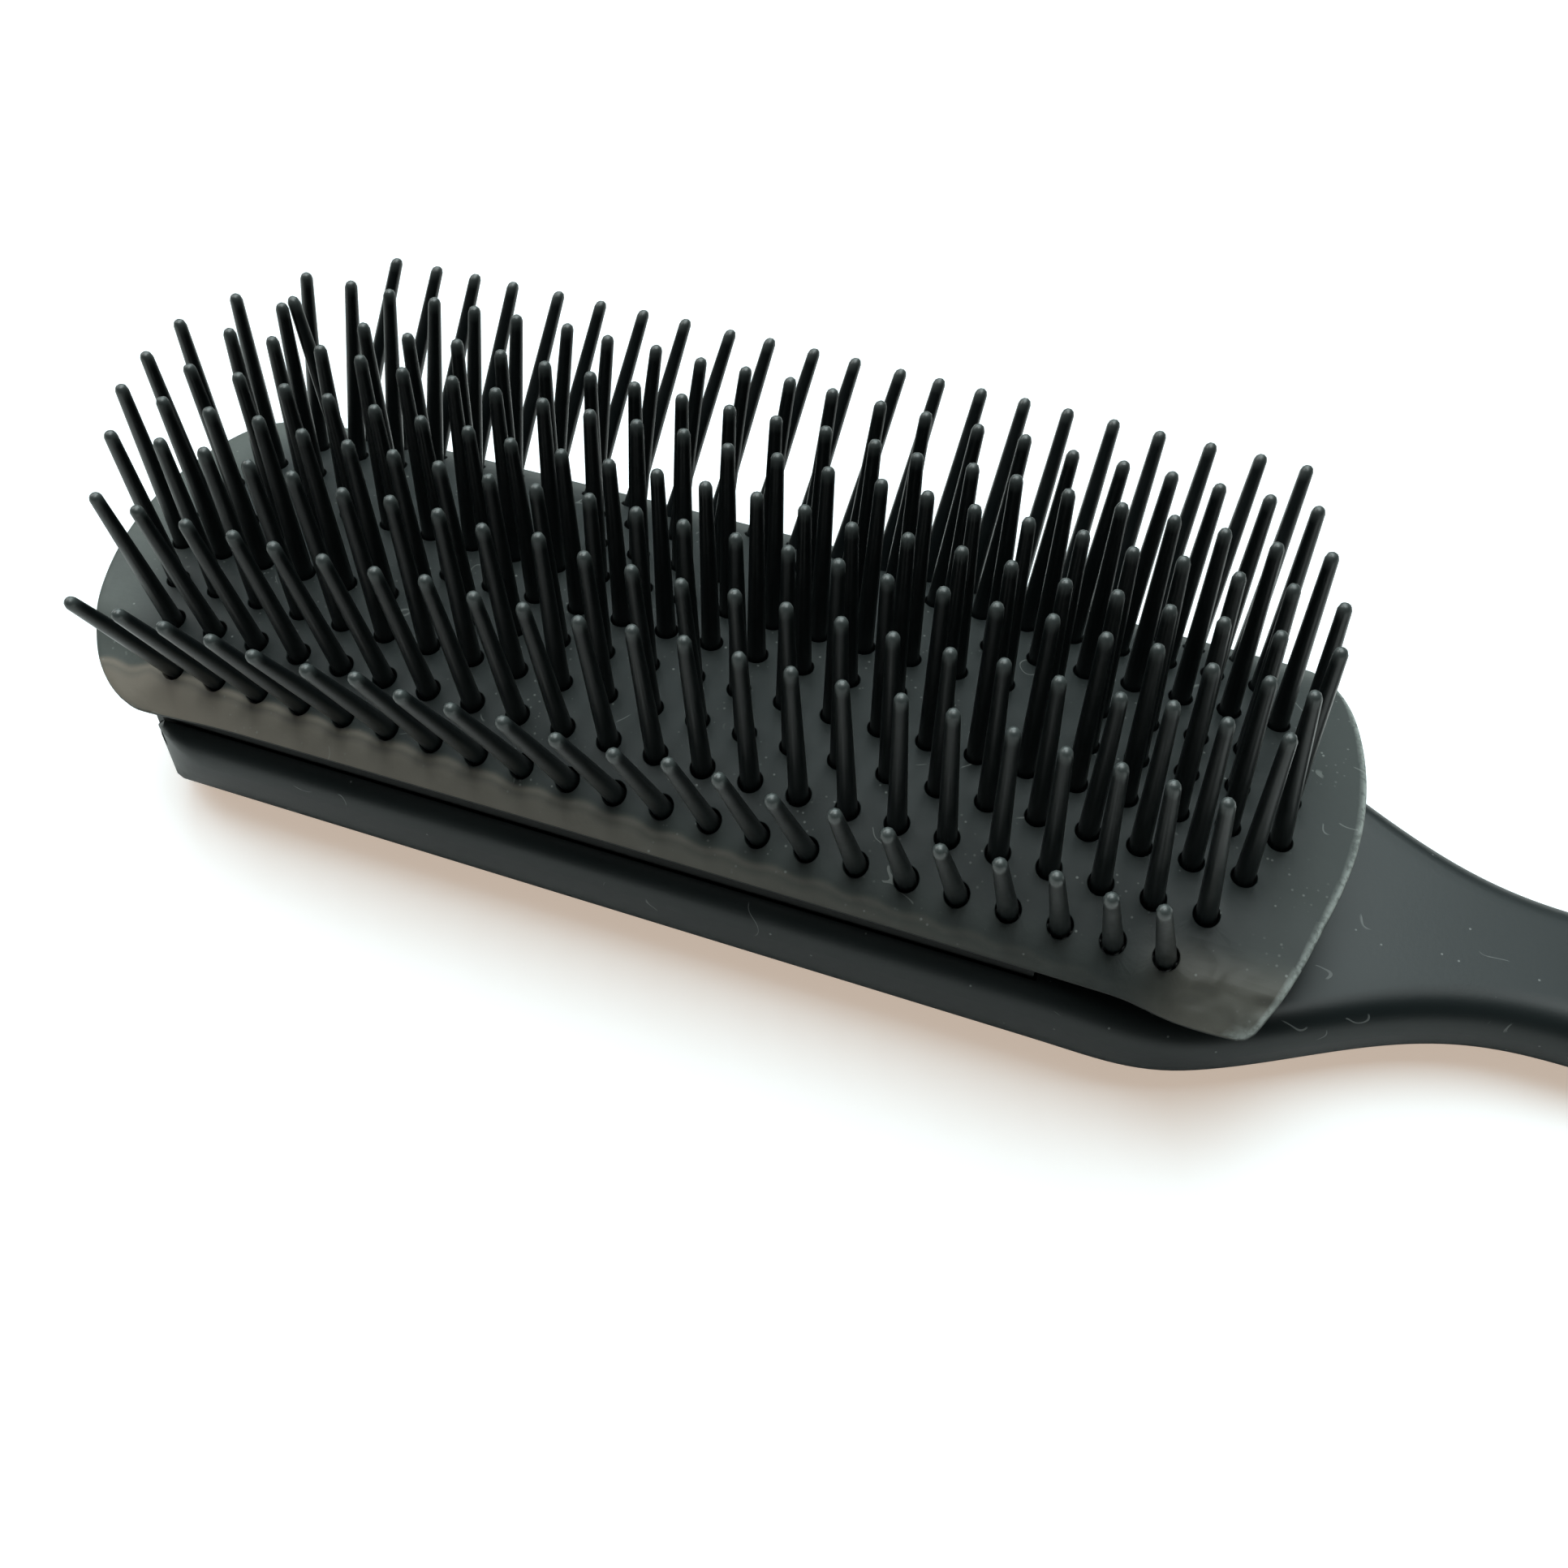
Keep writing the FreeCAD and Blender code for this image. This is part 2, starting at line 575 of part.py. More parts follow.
def make_pad(doc, size, arch, drills):
    """Arched rubber sheet with two T feet underneath and a hole for every pin."""
    section = add_shape(doc, "PadSection", sheet_section(arch, size["pad_thickness"]))
    half_length = f"{PAD_LENGTH} / 2"
    run = extrude(doc, "PadRun", section, Vector(1, 0, 0), half_length, half_length)
    plan = add_shape(doc, "PadOutline", pad_outline(size))
    plan_run = extrude(doc, "PadOutlineRun", plan, Vector(0, 0, 1), f"{arch.top}")
    pieces = [combine(doc, "Part::MultiCommon", "PadSheet", [run, plan_run])]

    root = arch.skirt_height(size["foot_offset"], size["pad_thickness"] / 2)
    bar_top = "(dims.head_depth - dims.slot_lip - dims.slot_clearance)"
    for side, title in ((-1, "Near"), (1, "Far")):
        pieces.append(box(doc, f"{title}Bar", "dims.foot_length", "dims.bar_width", "dims.bar_height",
                          FOOT_START, f"{side} * {FOOT_OFFSET} - dims.bar_width / 2",
                          f"{bar_top} - dims.bar_height"))
        pieces.append(box(doc, f"{title}Stem", "dims.foot_length", "dims.stem_width", f"{root} - {bar_top}",
                          FOOT_START, f"{side} * {FOOT_OFFSET} - dims.stem_width / 2", bar_top))
    blank = combine(doc, "Part::MultiFuse", "PadBlank", pieces)
    holes = combine(doc, "Part::MultiFuse", "PinHoles", drills)
    pad = cut(doc, "RubberPad", blank, holes)
    pad.Label = "rubber_pad"
    return pad


def check(doc, parts):
    """Stop if any object failed, or a sub-part's shape is empty, broken or not one solid."""
    for item in doc.Objects:
        if "Invalid" in item.State or "Error" in item.State:
            raise RuntimeError(f"{item.Name} failed: {item.State}")
    for part in parts:
        shape = part.Shape
        if shape.isNull() or not shape.isValid() or len(shape.Solids) != 1:
            raise RuntimeError(f"{part.Label} has no single valid solid")


def main():
    """Build the document, check it and write one file for each sub-part."""
    doc = FreeCAD.newDocument("detangling_brush")
    size = read_sizes(make_sheet(doc))
    arch = Arch(size)
    strips, drills = make_rows(doc, size, arch)
    pad = make_pad(doc, size, arch, drills)
    handle = make_handle(doc, size, arch)
    doc.recompute()
    parts = [handle, pad] + strips
    check(doc, parts)
    os.makedirs("parts", exist_ok=True)
    for part in parts:
        part.Shape.exportStep(os.path.join("parts", f"{part.Label}.step"))
        bounds = part.Shape.BoundBox
        print(f"{part.Label}: {part.Shape.Volume / 1000:.2f} cm3, x {bounds.XMin:.1f} to {bounds.XMax:.1f}, "
              f"y {bounds.YMin:.1f} to {bounds.YMax:.1f}, z {bounds.ZMin:.1f} to {bounds.ZMax:.1f}")


main()
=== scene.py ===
"""Visual model of a half-round detangling brush: moulded handle, slide-in rubber pad and nine nylon pin strips.

X runs along the brush from the pad's free tip to the butt, Y across it and Z up from the table. Everything is in
metres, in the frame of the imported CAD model.
"""
import math

import bmesh
import bpy
import numpy as np
from mathutils import Matrix, Vector


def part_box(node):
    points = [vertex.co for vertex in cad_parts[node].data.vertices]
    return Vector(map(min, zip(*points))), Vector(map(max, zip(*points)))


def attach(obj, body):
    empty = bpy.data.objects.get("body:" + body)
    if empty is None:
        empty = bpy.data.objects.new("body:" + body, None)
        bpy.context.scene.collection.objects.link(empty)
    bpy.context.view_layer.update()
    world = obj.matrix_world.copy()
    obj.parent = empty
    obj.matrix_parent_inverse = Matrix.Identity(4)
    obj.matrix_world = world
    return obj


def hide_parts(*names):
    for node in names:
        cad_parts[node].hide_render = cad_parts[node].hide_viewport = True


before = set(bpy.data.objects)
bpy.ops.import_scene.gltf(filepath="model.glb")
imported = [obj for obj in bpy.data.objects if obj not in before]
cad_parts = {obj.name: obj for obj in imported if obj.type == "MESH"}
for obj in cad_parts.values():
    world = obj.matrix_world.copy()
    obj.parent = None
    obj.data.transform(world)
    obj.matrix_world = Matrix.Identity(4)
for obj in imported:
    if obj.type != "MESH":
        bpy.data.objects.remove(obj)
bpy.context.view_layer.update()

bl_info = {
    "name": "Detangling brush",
    "version": (1, 0, 0),
    "blender": (4, 5, 0),
    "location": "View3D > Sidebar > Brush",
    "description": "Builds a half-round detangling brush over its packed CAD frame",
    "category": "Add Mesh",
}

MM = 0.001
PAD_LOW, PAD_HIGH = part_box("rubber_pad")
HANDLE_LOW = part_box("handle")[0]
ROWS = tuple(range(1, 10))
PIN_COUNTS = dict(zip(ROWS, (22, 23, 24, 25, 25, 25, 24, 23, 22)))
MERGE = 2e-3 * MM  # points closer than this are one
CELL_SIDE = 8  # steps along each side of the oblong cell round a hole
HOLE_EASE = 0.75  # share of the sheet's depth over which wider holes make up for the tighter bend
PAST_HOLES = 19.8 * MM  # arc length just past the holes of the outermost rows
TIP_FOLD = 14 * MM  # arc length at which the near corner of the free tip starts to hang
# Start and run of the smooth steps in which the worn pad is bent and marked, along x or across from the middle
TAIL_PRESS = 44 * MM, 8 * MM  # near corner of the tail pressed down and crumpled
TAIL_RETURN = 52 * MM, 6 * MM  # half of that press given back
TAIL_DRAW, TAIL_DRAW_ACROSS = (49.6 * MM, 8 * MM), (9 * MM, 14 * MM)  # that corner drawn out
CRUMPLE_ACROSS = 15 * MM, 5 * MM
TIP_HANG = 38 * MM, 16 * MM  # near corner of the free tip, counted towards the tip
SKIRT_ACROSS = 17 * MM, 4 * MM
ROUNDING_SPEED = 2.9  # how much faster the shoulder's heights change than its width
OVAL_SHARE = 0.485  # corner radius of the grip's section as a share of its smaller side
# The pad's feet in millimetres: x of both ends, then the half profile, y from the middle plane and z
FOOT_ENDS = (-50.0, 38.0)
FOOT_PROFILE = ((0.9, 10.5), (0.9, 11.9), (0.45, 11.9), (0.45, 17.3))
SLOT_PROFILE = ((1.2, 10.2), (1.2, 12.2), (0.75, 12.2), (0.75, 20.0))


def linear(code):
    """Linear RGB of an sRGB hex colour: c / 12.92 below 0.04045, else ((c + 0.055) / 1.055) ** 2.4."""
    parts = np.array([int(code[at:at + 2], 16) for at in (1, 3, 5)]) / 255
    return tuple(float(part) for part in np.where(parts <= 0.04045, parts / 12.92, ((parts + 0.055) / 1.055) ** 2.4))


def size(text, millimetres):
    """A length property whose default is given in millimetres."""
    return bpy.props.FloatProperty(description=text, default=millimetres * MM, unit="LENGTH", subtype="DISTANCE",
                                   precision=5)


def angle(text, degrees):
    """An angle property whose default is given in degrees."""
    return bpy.props.FloatProperty(description=text, default=math.radians(degrees), subtype="ANGLE")


def colour(text, code):
    """A colour property whose default is an sRGB hex code."""
    return bpy.props.FloatVectorProperty(description=text, default=linear(code), size=3, subtype="COLOR", min=0, max=1)


class PadSettings(bpy.types.PropertyGroup):
    """Sizes and colours of the rubber pad."""
    crown_height: size("Height of the middle of the pad above the table", PAD_HIGH[2] / MM)
    crown_radius: size("Radius of the wide arc over the middle rows", 108)
    crown_half_arc: size("Arc length from the middle line to the tighter bend", 12.5)
    arch_radius: size("Radius of the tighter bend over the outer rows", 17.5)
    skirt_angle: angle("Slope of the straight long edges", 33)
    thickness: size("Thickness of the rubber sheet", 2.0)
    tip_radius: size("Plan radius of the bowed free tip", 40)
    tip_corner: size("Plan radius of the corners of the free tip", 9)
    tail_radius: size("Plan radius of the bowed tail over the shoulder", 42)
    tail_corner: size("Plan radius of the corners of the tail", 1.5)
    hole_radius: size("Radius of the holes that the pins stand in", 1.13)
    hole_round: size("Rounding of the rims of the holes", 0.1)
    edge_round: size("Rounding of the outer edge of the two ends", 0.5)
    lip_round: size("Rounding of the long edges", 0.18)
    lip_thinning: size("How much thinner the sheet is along its long edges", 0.9)
    bow: size("How far the two ends of the pad sag below its middle", 0.7)
    corner_press: size("How far the near corner of the tail is pressed down on the shoulder", 1.3)
    corner_draw: size("How far the near corner of the tail is drawn out towards the grip", 1.1)
    tip_press: size("How far the near corner of the free tip hangs down", 0.9)
    rubber: colour("Dark grey of the clean rubber", "#0f1718")
    pale_clouds: colour("Paler grey of the dusty, weathered rubber", "#484d4a")
    # Paler grey laid in clouds, weighted towards the long skirts and most towards the free tip and the tail
    soil: colour("Warm grey of the film on the near skirt", "#777066")
    # Painted highlight: pale line put along the tail's rounded edge where it catches the light
    edge_highlight: colour("Pale line of the worn edge", "#9aa09c")
    # Painted shade: this black is put on the underside, the downward-facing edges and the feet of the pad
    underside_shade: colour("Black of the rubber that light has not reached", "#090b0b")
    dust: colour("Grey of the dust and lint on it", "#8b8f8b")


class PinSettings(bpy.types.PropertyGroup):
    """Sizes and colours of the pins and the strips that carry them."""
    pitch: size("Distance of two pins of a row", 4.6)
    row_pitch: size("Distance of two rows over the arch of the pad", 4.72)
    length: size("Length of a pin above the pad", 19.7)
    base_radius: size("Radius of a pin where it leaves the pad", 0.95)
    tip_radius: size("Radius of the round tip", 0.625)
    depth: size("Depth of the strip's axis below the upper face of the pad", 3.25)
    spine_radius: size("Radius of the round strip under the pad", 1.0)
    overrun: size("How far the strip runs past its last pin", 1.3)
    unevenness: angle("Random lean of single pins", 0.6)
    nylon: colour("Black of the pins", "#0b1112")
    tip: colour("Grey of the rubbed, dusty tips", "#404544")


class HandleSettings(bpy.types.PropertyGroup):
    """Sizes and colours of the handle moulding."""
    head_width: size("Width of the head over its rails", 45.2)
    head_depth: size("Height of the rails above the table", 14.1)
    side_flat: size("Upright part of the sides between belly and rim", 0.1)
    rim: size("Radius of the upper long edges of the rails", 3.4)
    end_radius: size("Plan radius of the bowed tip of the head", 46)
    end_corner: size("Plan radius of the corners of that tip", 9)
    keel: size("Rounding of the tip up from the table", 3.6)
    edge_round: size("Rounding of the upper edge of the tip", 1.5)
    shoulder_start: size("Where the head begins to narrow", 38)
    shoulder_length: size("Length of the narrowing part", 49)
    neck_width: size("Width of the neck at its narrowest", 15.0)
    neck_height: size("Height of the neck there", 9.45)
    neck_lift: size("Height of the neck above the table", 1.5)
    swell_length: size("Length from the neck to the widest part of the grip", 40)
    grip_width: size("Width of the grip", 19.2)
    grip_height: size("Height of the grip", 15.4)
    grip_lift: size("Height of the grip above the table", 0.1)
    taper_length: size("Length from there to the butt", 30)
    butt_width: size("Width before the round end", 16.6)
    butt_height: size("Height before the round end", 13.6)
    butt_lift: size("Height of the butt above the table", 0.9)
    butt_length: size("Length of the round end", 13)
    floor: size("Thickness of the head's back under the trough", 2.5)
    trough_half: size("Half the width of the trough", 16.4)
    trough_corner: size("Plan radius of the trough's corners", 8)
    trough_end: size("Where the trough ends in the shoulder", 41.7)
    slot_offset: size("Distance of each slot from the middle", 20)
    slot_end: size("Where the slots end in the shoulder", 38.3)
    plastic: colour("Colour of the moulding", "#0d1415")
    sheen: colour("Colour where hands have rubbed it", "#141b1c")
    dust: colour("Grey of the dust and lint on it", "#8e918f")


class StageSettings(bpy.types.PropertyGroup):
    """Floor, lamps and camera."""
    floor_size: size("Side of the square floor", 6000)
    floor_gap: size("Distance of the floor below the table plane", 0.05)
    lens: bpy.props.FloatProperty(description="Focal length on a 36 mm sensor", default=38.354)
    azimuth: angle("Turn of the view from +Y towards -X", 18.345)
    elevation: angle("Downward tilt of the view", 50.24)
    roll: angle("Turn of the camera about its own axis", 1.547)
    camera: bpy.props.FloatVectorProperty(description="Place of the camera", subtype="TRANSLATION", precision=5,
                                          default=(0.04237, -0.10449, 0.13682))
    white: colour("White of the floor", "#dededc")


def fill(tree, made, inputs):
    """Sets or links a node's sockets: a dict goes by socket name or number, a tuple in the order of the sockets.

    A node stands for its first output.
    """
    for key, value in inputs.items() if isinstance(inputs, dict) else enumerate(inputs):
        value = value.outputs[0] if isinstance(value, bpy.types.Node) else value
        if isinstance(value, bpy.types.NodeSocket):
            tree.links.new(value, made.inputs[key])
        else:
            made.inputs[key].default_value = value


def node(tree, kind, inputs=(), **settings):
    """Adds one node, sets its properties and fills its sockets."""
    made = tree.nodes.new(kind)
    for key, value in settings.items():
        setattr(made, key, value)
    fill(tree, made, inputs)
    return made


def start_material(name):
    """A new material, its tree, its shader and the object coordinates for its patterns."""
    material = bpy.data.materials.new(name)
    material.use_nodes = True
    tree = material.node_tree
    return material, tree, tree.nodes["Principled BSDF"], node(tree, "ShaderNodeTexCoord").outputs["Object"]


def opaque(value):
    """A colour with full alpha."""
    return (*value, 1.0)


def ease(share):
    """Smooth step 6 u^5 - 15 u^4 + 10 u^3 of a share that is first held between 0 and 1."""
    held = np.clip(share, 0, 1)
    return held ** 3 * (held * (held * 6 - 15) + 10)


def ramp(value, start, run):
    """Smooth step that begins at a start and takes a run to finish."""
    return ease((value - start) / run)


def grid_faces(count_u, count_v, wrap=False):
    """Quads of a grid of count_u by count_v points, stored row by row; wrap joins the last column to the first."""
    u, v = np.meshgrid(np.arange(count_u - 1), np.arange(count_v if wrap else count_v - 1), indexing="ij")
    following = (v + 1) % count_v
    return np.stack([u * count_v + v, (u + 1) * count_v + v, (u + 1) * count_v + following, u * count_v + following],
                    axis=-1).reshape(-1, 4)


def tube_faces(rings, count):
    """Faces of a tube of rings with count points each, both ends closed."""
    ends = [list(range(count))[::-1], [(rings - 1) * count + corner for corner in range(count)]]
    return grid_faces(rings, count, wrap=True).tolist() + ends


def make_mesh(name, points, faces, sharp):
    """A closed mesh from points and faces: doubles merged, normals outward, smooth with creases past an angle."""
    mesh = bpy.data.meshes.new(name)
    mesh.from_pydata(points.tolist(), [], faces)
    edit = bmesh.new()
    edit.from_mesh(mesh)
    bmesh.ops.remove_doubles(edit, verts=edit.verts, dist=MERGE)
    bmesh.ops.dissolve_degenerate(edit, edges=edit.edges, dist=MERGE / 2)
    bmesh.ops.recalc_face_normals(edit, faces=edit.faces)
    edit.to_mesh(mesh)
    edit.free()
    mesh.shade_smooth()
    mesh.set_sharp_from_angle(angle=math.radians(sharp))
    return mesh


def add_piece(mesh, material, body, nodes):
    """Links a mesh as a piece that rides on a body, stands for CAD nodes and takes its finish from a slot."""
    piece = bpy.data.objects.new(mesh.name, mesh)
    bpy.context.scene.collection.objects.link(piece)
    mesh.materials.clear()
    mesh.materials.append(material)
    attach(piece, body)
    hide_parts(*nodes)
    return piece


def vertex_columns(mesh, name):
    """The places, co, or the normals, normal, of a mesh's vertices as three arrays."""
    flat = np.empty(len(mesh.vertices) * 3)
    mesh.vertices.foreach_get(name, flat)
    return flat.reshape(-1, 3).T


def put_attribute(mesh, name, values):
    """Stores one number per vertex for the material."""
    mesh.attributes.new(name, "FLOAT", "POINT").data.foreach_set("value", values.astype(np.float32))


def end_x(x_end, radius, corner, half, facing, y):
    """Plan outline of a bowed end, x as a function of y: arc of the end radius, then the corner's arc."""
    side = np.minimum(np.abs(y), half)
    hub, inner, across = x_end - facing * radius, radius - corner, half - corner
    corner_x = hub + facing * math.sqrt(inner ** 2 - across ** 2)
    bowed = hub + facing * np.sqrt(np.maximum(radius ** 2 - side ** 2, 0))
    turned = corner_x + facing * np.sqrt(np.maximum(corner ** 2 - np.maximum(side - across, 0) ** 2, 0))
    return np.where(side <= across * radius / inner, bowed, turned)


def end_distance(x_end, radius, corner, half, facing, x, y):
    """Plan distance inwards from a bowed end: radius less the distance to its hub, or the same about the corner."""
    side = np.abs(y)
    hub, inner, across = x_end - facing * radius, radius - corner, half - corner
    corner_x = hub + facing * math.sqrt(inner ** 2 - across ** 2)
    from_hub = radius - np.hypot(x - hub, side)
    from_corner = corner - np.hypot(x - corner_x, side - across)
    past = facing * (x - corner_x)
    in_corner = (past > 0) & (side > across * (1 + past / (facing * (corner_x - hub))))
    return np.where(in_corner, from_corner, np.where(facing * (x - hub) > 0, from_hub, radius))


def quarter_round(distance, radius):
    """Drop of a rounded edge: r - sqrt(r^2 - (r - d)^2) within r of the edge, and nothing beyond."""
    inside = np.clip(radius - distance, 0, radius)
    return radius - np.sqrt(np.maximum(radius ** 2 - inside ** 2, 0))


def arch(pad, arc):
    """Upper face of the pad across the brush at an arc length: crown arc, tighter arc, straight skirt; y, z, slope."""
    side, run = np.where(arc < 0, -1.0, 1.0), np.abs(arc)
    turn = pad.crown_half_arc / pad.crown_radius
    slope = np.where(run < pad.crown_half_arc, run / pad.crown_radius,
                     turn + (run - pad.crown_half_arc) / pad.arch_radius)
    past = np.maximum(slope - pad.skirt_angle, 0) * pad.arch_radius
    slope = np.minimum(slope, pad.skirt_angle)
    near, far = np.minimum(slope, turn), np.maximum(slope, turn)
    y = (pad.crown_radius * np.sin(near) + pad.arch_radius * (np.sin(far) - math.sin(turn))
         + past * math.cos(pad.skirt_angle))
    z = (pad.crown_height - pad.crown_radius * (1 - np.cos(near)) - pad.arch_radius * (math.cos(turn) - np.cos(far))
         - past * math.sin(pad.skirt_angle))
    return side * y, z, side * slope


def arc_at(pad, y):
    """Arc length at which the upper face reaches a distance from the middle, from the skirt's straight line."""
    turn = pad.crown_half_arc / pad.crown_radius
    bend = pad.crown_half_arc + (pad.skirt_angle - turn) * pad.arch_radius
    reach = pad.crown_radius * math.sin(turn) + pad.arch_radius * (math.sin(pad.skirt_angle) - math.sin(turn))
    return bend + (y - reach) / math.cos(pad.skirt_angle)


def bow(pad, x):
    """How far the pad and its strips sag: the square of the distance from the middle, as a share of the ends' sag."""
    return pad.bow * (2 * x / (PAD_HIGH[0] - PAD_LOW[0])) ** 2


def sag(pad, x, arc):
    """How far the sheet lies below its drawn place: a lengthwise bow, and the two near corners pressed down."""
    rise = ramp(x, *TAIL_PRESS) - 0.5 * ramp(x, *TAIL_RETURN)
    pressed = pad.corner_press * rise * ramp(-arc, PAST_HOLES, 4 * MM)
    inner = TIP_FOLD + (PAST_HOLES - TIP_FOLD) * ramp(x, -54 * MM, 4 * MM)
    hanging = pad.tip_press * ramp(-x, *TIP_HANG) * ramp(-arc, inner, 5 * MM)
    return bow(pad, x) + pressed + hanging


def corner_draw(pad, x, arc):
    """How far the sheet is drawn towards the grip at the near corner of its tail."""
    return pad.corner_draw * ramp(x, *TAIL_DRAW) * ramp(-arc, *TAIL_DRAW_ACROSS)


def pad_point(pad, x, arc, depth):
    """Point of the sheet: the arch at this arc length, down its normal by depth, sagged and drawn at the corner."""
    y, z, slope = arch(pad, arc)
    return np.stack([x + corner_draw(pad, x, arc), y - depth * np.sin(slope),
                     z - depth * np.cos(slope) - sag(pad, x, arc)], axis=-1)


def pad_end(pad, facing):
    """What end_x and end_distance take for the pad's free tip, facing -1, or for its tail, facing 1."""
    if facing < 0:
        return PAD_LOW[0], pad.tip_radius, pad.tip_corner, PAD_HIGH[1], -1
    return PAD_HIGH[0], pad.tail_radius, pad.tail_corner, PAD_HIGH[1], 1


def pad_edges(pad, x, arc):
    """Distances inwards from the pad's outline: to the nearer of its two ends, and to its long edge."""
    y = arch(pad, arc)[0]
    tip, tail = (end_distance(*pad_end(pad, facing), x, y) for facing in (-1, 1))
    return np.minimum(tip, tail), arc_at(pad, PAD_HIGH[1]) - np.abs(arc)


def graded(start, stop, radius, count):
    """Values from start to stop, closely spaced over the last radius before stop so that a rounding shows."""
    way = np.sign(stop - start)
    close = stop - way * radius * np.array([1.6, 1.0, 0.5, 0.15, 0.0])
    return np.concatenate([np.linspace(start, close[0], count)[:-1], close])


def hole_cells(pad, pins, row):
    """Sheet round the holes of one row: rings from each hole out to the sides of its oblong cell.

    Holes past the crown are wider across, because the tighter bend narrows them towards the lower face.
    """
    count = PIN_COUNTS[row]
    bent = abs(row - 5) * pins.row_pitch > pad.crown_half_arc
    across = 1 + HOLE_EASE * pad.thickness / pad.arch_radius if bent else 1.0
    centres = (np.arange(count) - (count - 1) / 2) * pins.pitch
    step = np.arange(4 * CELL_SIDE)
    turn = (step / (4 * CELL_SIDE) - 0.125) * 2 * np.pi
    walk = (step % CELL_SIDE) / CELL_SIDE * 2 - 1
    side = step // CELL_SIDE
    edge_x = np.choose(side, [np.ones_like(walk), -walk, -np.ones_like(walk), walk]) * pins.pitch / 2
    edge_s = np.choose(side, [walk, np.ones_like(walk), -walk, -np.ones_like(walk)]) * pins.row_pitch / 2
    reach = pad.hole_radius + pad.hole_round * np.array([0.0, 0.2, 0.55, 1.0])
    ring_x = np.concatenate([reach[:, None] * np.cos(turn), edge_x[None]])
    ring_s = np.concatenate([reach[:, None] * across * np.sin(turn), edge_s[None]])
    drop = quarter_round(reach - pad.hole_radius, pad.hole_round)
    drop = np.concatenate([drop, [0.0]])[:, None] * np.ones_like(ring_x)
    faces = grid_faces(len(reach) + 1, len(step), wrap=True)
    per_cell = ring_x.size
    x = (centres[:, None, None] + ring_x).ravel()
    arc = ((row - 5) * pins.row_pitch + ring_s + np.zeros((count, 1, 1))).ravel()
    depth = np.broadcast_to(drop, (count, *drop.shape)).ravel()
    quads = (faces[None] + (np.arange(count) * per_cell)[:, None, None]).reshape(-1, 4)
    return x, arc, depth, quads


def row_margin(pad, pins, row, facing):
    """Sheet between the last hole's cell of a row and the bowed end: a grid of x shares by arc lengths."""
    arc = (row - 5) * pins.row_pitch + np.linspace(-0.5, 0.5, CELL_SIDE + 1) * pins.row_pitch
    inner = facing * PIN_COUNTS[row] / 2 * pins.pitch
    outer = end_x(*pad_end(pad, facing), arch(pad, arc)[0])
    share = graded(0, 1, pad.edge_round / np.abs(outer - inner).mean(), 5)
    x = inner + share[:, None] * (outer - inner)
    return x, np.broadcast_to(arc, x.shape)


def long_edge(pad, pins, side):
    """Sheet outside the outermost row: the row's own x places stretched between the bowed ends, by arc lengths."""
    row = 5 + 4 * side
    tip, tail = (row_margin(pad, pins, row, facing)[0] for facing in (-1, 1))
    column = -1 if side > 0 else 0
    count = PIN_COUNTS[row] * CELL_SIDE
    middle = (np.arange(count + 1) / CELL_SIDE - PIN_COUNTS[row] / 2) * pins.pitch
    places = np.concatenate([tip[::-1, column], middle[1:-1], tail[:, column]])
    share = (places - places[0]) / (places[-1] - places[0])
    arc = side * graded(4.5 * pins.row_pitch, arc_at(pad, PAD_HIGH[1]), pad.lip_round, 5)
    start, stop = (end_x(*pad_end(pad, facing), arch(pad, arc)[0])[:, None] for facing in (-1, 1))
    x = start + share * (stop - start)
    return x, np.broadcast_to(arc[:, None], x.shape)


def outline_edges(faces):
    """Edges that only one face uses, in that face's own direction."""
    edges = np.concatenate([faces[:, [0, 1]], faces[:, [1, 2]], faces[:, [2, 3]], faces[:, [3, 0]]])
    edges = edges[edges[:, 0] != edges[:, 1]]
    key = np.sort(edges, axis=1) @ np.array([faces.max() + 1, 1])
    first, count = np.unique(key, return_index=True, return_counts=True)[1:]
    return edges[first[count == 1]]


def pad_sheet(pad, pins):
    """The whole sheet: patches in x and arc length are joined, carried to both faces and walled at every edge."""
    def grid_patch(x, arc):
        return x.ravel(), arc.ravel(), np.zeros(x.size), grid_faces(*x.shape)

    patches = []
    for row in ROWS:
        patches.append(hole_cells(pad, pins, row))
        patches += [grid_patch(*row_margin(pad, pins, row, facing)) for facing in (-1, 1)]
    patches += [grid_patch(*long_edge(pad, pins, side)) for side in (-1, 1)]
    starts = np.cumsum([0] + [len(patch[0]) for patch in patches[:-1]])
    x, arc, depth = (np.concatenate([patch[column] for patch in patches]) for column in range(3))
    faces = np.concatenate([patch[3] + start for patch, start in zip(patches, starts)])
    code = np.round(np.stack([x, arc], axis=1) / MERGE).astype(np.int64)
    kept, place = np.unique(code, axis=0, return_index=True, return_inverse=True)[1:]
    place = place.ravel()
    x, arc, depth, faces = x[kept], arc[kept], depth[kept], place[faces]
    flat = np.stack([x, arc], axis=1)[faces]
    area = ((flat[:, 2, 0] - flat[:, 0, 0]) * (flat[:, 3, 1] - flat[:, 1, 1])
            - (flat[:, 3, 0] - flat[:, 1, 0]) * (flat[:, 2, 1] - flat[:, 0, 1]))
    faces = np.where(area[:, None] < 0, faces[:, ::-1], faces)
    from_end, from_lip = pad_edges(pad, x, arc)
    depth = np.maximum(depth + quarter_round(from_end, pad.edge_round), quarter_round(from_lip, pad.lip_round))
    thickness = pad.thickness - pad.lip_thinning * ease(1 - from_lip / (3 * MM))
    upper, lower = pad_point(pad, x, arc, depth), pad_point(pad, x, arc, thickness)
    rim = outline_edges(faces)
    walls = np.stack([rim[:, 1], rim[:, 0], rim[:, 0] + len(x), rim[:, 1] + len(x)], axis=1)
    return np.concatenate([upper, lower]), np.concatenate([faces, faces[:, ::-1] + len(x), walls]).tolist()


